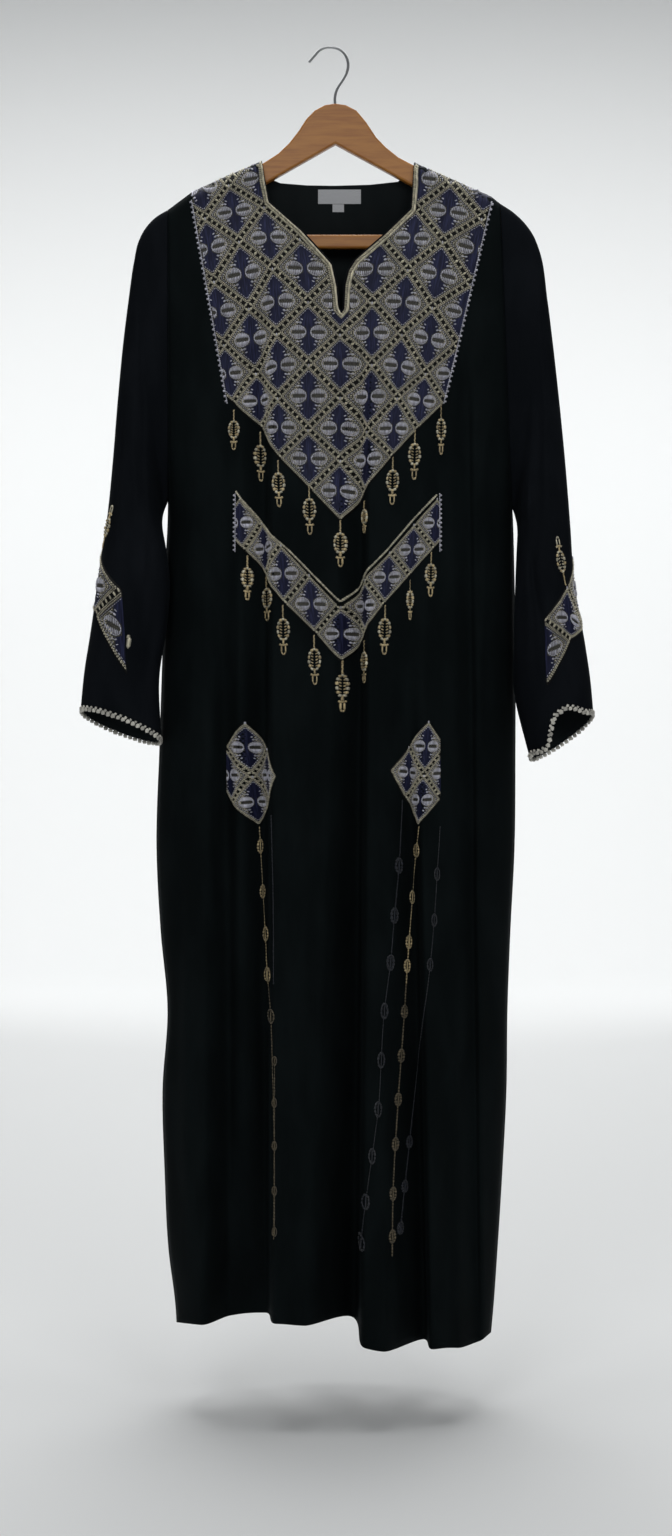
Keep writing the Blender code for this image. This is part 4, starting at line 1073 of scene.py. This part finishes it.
drops = (  # picture x, top y, bottom y, width and lean
    (234, 410, 450, 0.85, 0.0), (260, 430, 480, 1.0, 0.02), (278, 460, 507, 1.0, 0.03),
    (309, 485, 535, 1.0, 0.02), (340, 520, 567, 1.0, 0.0), (365, 500, 532, 0.45, 0.0),
    (393, 457, 505, 1.0, -0.02), (415, 430, 480, 0.95, -0.02), (441, 405, 455, 0.7, 0.0),
    (247, 555, 600, 0.85, 0.0), (267, 575, 620, 0.8, 0.02), (283, 605, 655, 1.0, 0.02),
    (314, 635, 685, 1.0, 0.02), (342, 660, 712, 1.0, 0.0), (365, 640, 683, 0.45, 0.0),
    (385, 605, 655, 1.0, -0.02), (410, 580, 620, 0.5, 0.0), (431, 552, 597, 0.85, -0.02),
)
rows = shaken(np.concatenate([toPattern(dropStitches((low - top) * pixel, wide), hangFrom(px, top, lean))
                              for px, top, low, wide, lean in drops]))
stitchPiece("front_drops", frontCloth, rows, sewing["hangingLift"], [gold, dropGold, silver, dropGold])
sleeveDrops = (  # tip and foot on each sleeve's pattern
    ("left", leftCloth, leftCloth.spot(108, 506)[0] - (19.0, 0.0),
     leftCloth.spot(103.5, 550)[0] - (14.0, 0.0)),
    ("right", rightCloth, rightCloth.spot(557, 537)[0], rightCloth.spot(565, 585)[0]),
)
for name, surface, tip, foot in sleeveDrops:
    way = tip - foot
    tall = np.linalg.norm(way)
    way = way / tall
    side = np.array([-way[1], way[0]])
    rows = toPattern(dropStitches(tall, 0.95), lambda x, y: foot + x[:, None] * side + y[:, None] * way)
    stitchPiece("sleeve_drop_" + name, surface, shaken(rows), sewing["hangingLift"],
                [gold, dropGold, silver, gold])
top, foot = leftCloth.spot((129.5, 128), (637, 648))
rows = np.array([(*top, *foot, 5.0, 2.2, 1), (*(top + (1, -2)), *(top + (1.5, 3)), 3.6, 2.4, 1)])
stitchPiece("sleeve_bead_left", leftCloth, rows, sewing["hangingLift"], [silver, gold])

strings = (  # way of each thread in pixels, heights of its beads, thread width, bead size, finish
    (((259, 827), (263, 893), (266, 936.5), (268, 977), (271.6, 1017), (273, 1061),
      (274.5, 1120), (274.3, 1240)),
     (847, 893, 936, 977, 1017), 1.0, 0.95, 4),
    (((275, 1061), (275, 1240)), (1061, 1103, 1146, 1191, 1232), 0.8, 0.62, 4),
    (((419.7, 826), (412.3, 898.6), (407, 965), (404, 1014), (397.7, 1101.7), (392.5, 1195), (391.6, 1260)),
     (851, 898.6, 944, 968, 1014, 1058, 1101.7, 1146, 1195, 1238), 1.0, 0.9, 4),
    (((402, 800), (398.5, 866), (394, 916), (390, 963), (384, 1011), (378, 1109.5), (366, 1202), (361, 1255)),
     (866, 916, 963, 1011, 1060, 1109, 1156, 1202, 1245), 0.8, 1.05, 6),
    (((440, 826), (437, 874), (434, 920), (430, 964.5), (425, 1011), (413, 1110), (409, 1147), (399, 1240)),
     (874, 920, 964.5, 1147, 1191, 1232), 0.8, 0.85, 6),
    (((272, 815), (273.7, 900), (274, 985)), (), 1.0, 0.0, 6),
)
string = {"step": 3.2, "beadHalf": 3.3, "beadTall": 8.4, "darkerFrom": 985}
stringRows = []
for way, beads, threadWidth, beadSize, kind in strings:
    way = np.array(way, float)
    heights = np.arange(way[0, 1], way[-1, 1], string["step"])
    line = onFront(smooth(heights, way[:, 1], way[:, 0]), heights)
    stringRows += [(*a, *b, threadWidth, 1.0, kind) for a, b in zip(line[:-1], line[1:])]
    half, tall = string["beadHalf"] * beadSize, string["beadTall"] * beadSize
    for height in beads:
        grains = [(0.0, -tall, 0.0, tall, 1.2, 1.4, kind)] + ringRows(
            12, (half, tall), (1.3 * beadSize, 2.3 * beadSize), 1.9 * beadSize, 1.6, (kind,))
        place = hangFrom(smooth([height], way[:, 1], way[:, 0])[0], height)
        stringRows += toPattern(np.array(grains, float), place).tolist()
rows = shaken(np.array(stringRows, float))
rows[(rows[:, 6] == 4) & (rows[:, 1] > chart(0, string["darkerFrom"])[1]), 6] = 5  # the lower beads take the darker gold
stitchPiece("bead_strings", frontCloth, rows, sewing["hangingLift"], threads)
print("drops and strings sewn")


# ---- neck: a flat strip under two rows of slanted stitches, a cord on the raw edge, and the side seams
neck = {
    "strip": (0.9, 7.2), "stripLift": 1.1, "stripWall": 0.7, "rows": ((1.0, 4.1, 1), (7.1, 4.1, 3)),
    "pitch": 2.2, "stitch": 1.9, "braidLift": 1.3,
    "cordStep": 2.5, "cordLift": 0.2, "cord": 1.25, "cordSides": 8,
}


def evenly(line, step):
    # points at equal steps along a polyline
    lengths = np.concatenate([[0], np.cumsum(np.linalg.norm(np.diff(line, axis=0), axis=1))])
    at = np.linspace(0, lengths[-1], max(2, int(lengths[-1] / step)))
    return np.stack([np.interp(at, lengths, line[:, k]) for k in range(line.shape[1])], axis=-1)


def neckStrip():
    inner, outer = (neckLine(off) for off in neck["strip"])
    mesh = bmesh.new()
    bmesh.ops.create_grid(mesh, x_segments=len(inner) - 1, y_segments=4, size=1.0)
    mesh.verts.ensure_lookup_table()
    i = np.array([round((vert.co.x + 1) / 2 * (len(inner) - 1)) for vert in mesh.verts])
    share = np.array([(vert.co.y + 1) / 2 for vert in mesh.verts])[:, None]
    moveTo(mesh, frontCloth.place(inner[i] * (1 - share) + outer[i] * share, neck["stripLift"])[0])
    bmesh.ops.recalc_face_normals(mesh, faces=mesh.faces[:])
    data = meshOf("neck_braid", mesh, dimGold)
    addPiece("neck_braid", data, frontCloth, "neck_trim", neck["stripWall"])


def neckCord(points, sides):
    # a round cord along points in metres
    count = len(points)
    ahead = unit(np.gradient(points, axis=0))
    side = unit(np.cross(ahead, (0.0, 1.0, 0.0)))
    up = np.cross(side, ahead)
    turn = np.arange(sides) / sides * 2 * math.pi
    ring = np.cos(turn)[None, :, None] * side[:, None] + np.sin(turn)[None, :, None] * up[:, None]
    vertices = (points[:, None] + neck["cord"] * mm * ring).reshape(-1, 3).tolist()
    faces = [(a + k, a + sides + k, a + sides + (k + 1) % sides, a + (k + 1) % sides)
             for a in range(0, sides * (count - 1), sides) for k in range(sides)]
    faces += [tuple(range(sides)), tuple(range(sides * count - 1, sides * count - sides - 1, -1))]
    data = meshOf("neck_piping", (vertices, faces), piping)
    fixed = bmesh.new()
    fixed.from_mesh(data)
    bmesh.ops.recalc_face_normals(fixed, faces=fixed.faces[:])
    fixed.to_mesh(data)
    fixed.free()
    data.shade_smooth()
    addPiece("neck_piping", data, frontCloth)


neckStrip()
braid = []
for low, high, kind in neck["rows"]:
    first = evenly(neckLine(low), neck["pitch"])
    length = np.linalg.norm(np.diff(neckLine(high), axis=0), axis=1).sum()
    second = evenly(neckLine(high), length / len(first))
    braid += [(*first[k], *second[k + 1], neck["stitch"], neck["stitch"], kind)
              for k in range(min(len(first), len(second)) - 1)]
stitchPiece("neck_braid_stitches", frontCloth, shaken(np.array(braid, float)), neck["braidLift"], threads)
neckCord(frontCloth.place(evenly(neckLine(0.0), neck["cordStep"]), neck["cordLift"])[0], neck["cordSides"])
for name, side in (("left", 0), ("right", -1)):
    # a strip between the edges of front and back; it should end at the underarm, and runs on above it
    fore, rear = frontGrid[1][:, side], backGrid[1][:, side]
    rear = [np.interp(-fore[:, 2], -rear[:, 2], rear[:, axis]) for axis in (0, 1)]
    rear = np.stack([*rear, fore[:, 2]], axis=-1)
    count = len(fore)
    faces = [(k, k + 1, count + k + 1, count + k) for k in range(count - 1)]
    data = meshOf("side_seam_" + name, (np.concatenate([fore, rear]).tolist(), faces), velvet)
    addPiece("side_seam_" + name, data, frontCloth, wall=cloth["thick"])
print("neck braided", len(braid))


# ---- cuffs: two rows of fluffy lobes along the rim
cuff = {
    "lobe": 6.2, "lobeSize": (2.7, 2.7, 2.0), "small": 0.62,  # of a lobe in the second row
    "below": 1.4, "second": 1.7, "secondOut": 1.1,
}


def lobes(name, points, alongs, outs, sizes, surface):
    # one small rounded tuft at each point
    ball = bmesh.new()
    bmesh.ops.create_icosphere(ball, subdivisions=2, radius=1.0)
    shape = np.array([vert.co[:] for vert in ball.verts])
    corners = [[vert.index for vert in face.verts] for face in ball.faces]
    ball.free()
    bump = 1 + 0.22 * np.sin(shape[:, 0] * 5.0 + 1.0) * np.sin(shape[:, 1] * 6.0) * np.cos(shape[:, 2] * 5.0)
    shape = shape * bump[:, None]
    frames = (unit(np.cross(outs, alongs)), alongs, outs)
    reach = sum(way[:, None] * shape[None, :, k:k + 1] * sizes[:, None, k:k + 1]
                for k, way in enumerate(frames))
    vertices = (points[:, None] + mm * reach).reshape(-1, 3)
    faces = [[len(shape) * n + c for c in face] for n in range(len(points)) for face in corners]
    data = meshOf("cuff_lobes_" + name, (vertices.tolist(), faces), cuffSilver)
    toned(data, 0.4, len(shape), len(points))
    addPiece("cuff_lobes_" + name, data, surface, "cuff_trim_" + name)


for name, (flat, hung, out), surface in (("left", leftGrid, leftCloth), ("right", rightGrid, rightCloth)):
    rim = np.concatenate([hung[-1] / mm, unit(hung[-1] - hung[-3]), out[-1]], axis=1)[:-1]
    rim = evenly(rim, cuff["lobe"] * 0.5)
    points, alongs, normal = rim[:, :3] * mm, unit(rim[:, 3:6]), unit(rim[:, 6:])
    first, second = slice(0, None, 2), slice(1, None, 2)
    spots = np.concatenate([
        points[first] + alongs[first] * cuff["below"] * mm,
        points[second] - alongs[second] * cuff["second"] * mm + normal[second] * cuff["secondOut"] * mm])
    ways, sides = (np.concatenate([each[first], each[second]]) for each in (alongs, normal))
    sizes = np.tile(cuff["lobeSize"], (len(spots), 1))
    sizes[len(points[first]):] *= cuff["small"]
    sizes = sizes * chance.uniform(0.88, 1.15, sizes.shape)
    lobes(name, spots, ways, sides, sizes, surface)
print("cuffs edged")


# ---- stage and light
def areaLight(name, place, target, size, power):
    data = bpy.data.lights.new(name, "AREA")
    data.shape = "RECTANGLE"
    data.size, data.size_y = size
    data.energy = power
    lamp = link(name, data)
    lamp.location = place
    aim = Vector(target) - Vector(place)
    lamp.rotation_euler = aim.to_track_quat("-Z", "Y").to_euler()
    lamp.visible_camera = False


def sweepStage():
    # floor, curve and wall in one sheet
    back, floor, sweep = view["backdrop"], view["floor"], view["sweep"]
    profile = [(view["stageFore"], floor), (back - sweep, floor)]
    for k in range(1, 13):
        angle = math.radians(90 * k / 12)
        profile.append((back - sweep + sweep * math.sin(angle), floor + sweep * (1 - math.cos(angle))))
    profile.append((back, view["stageTop"]))
    sheet = bmesh.new()
    bmesh.ops.create_grid(sheet, x_segments=1, y_segments=len(profile) - 1, size=1.0)
    for vert in sheet.verts:
        y, z = profile[round((vert.co.y + 1) / 2 * (len(profile) - 1))]
        vert.co = (vert.co.x * view["stageHalf"], y, z)
    bmesh.ops.recalc_face_normals(sheet, faces=sheet.faces[:])
    paper = Finish("studio_paper", (0.80, 0.81, 0.81), 0.9, Specular_IOR_Level=0.1).material
    link("studio_sweep", meshOf("studio_sweep", sheet, paper))


sweepStage()
lamps = {  # place, target, size and power
    "backdrop_left": ((-2.2, 4.6, 0.5), (-0.6, 7.4, 0.5), (0.6, 0.6), 37.0),
    "backdrop_right": ((2.2, 4.6, 0.5), (0.6, 7.4, 0.5), (0.6, 0.6), 37.0),
    "overhead": ((0.0, 0.0, 1.6), (0.0, 0.0, -1.0), (1.5, 1.1), 30.0),
    "rear": ((0.0, 3.6, 2.6), (0.0, 3.6, -1.6), (5.0, 4.0), 160.0),
    "front_left": ((-0.75, -2.8, 0.8), (0.0, 0.0, -0.6), (1.0, 1.2), 19.0),
    "front_right": ((0.95, -2.7, 0.6), (0.0, 0.0, -0.6), (1.0, 1.2), 14.5),
}
for name, row in lamps.items():
    areaLight(name, *row)
sky = {"Color": (0.93, 0.97, 1.0, 1), "Strength": 0.15}
world = bpy.data.worlds.new("studio")
bpy.context.scene.world = world
world.use_nodes = True
for key, value in sky.items():
    world.node_tree.nodes["Background"].inputs[key].default_value = value
print("stage lit")


# ---- the hanger and the label keep their solids, with finishes of their own
kept = {"hanger": wood, "hanger_bar": wood, "hook": steel, "label": label, "label_tab": label}
for node, finish in kept.items():
    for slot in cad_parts[node].material_slots:
        slot.material = finish
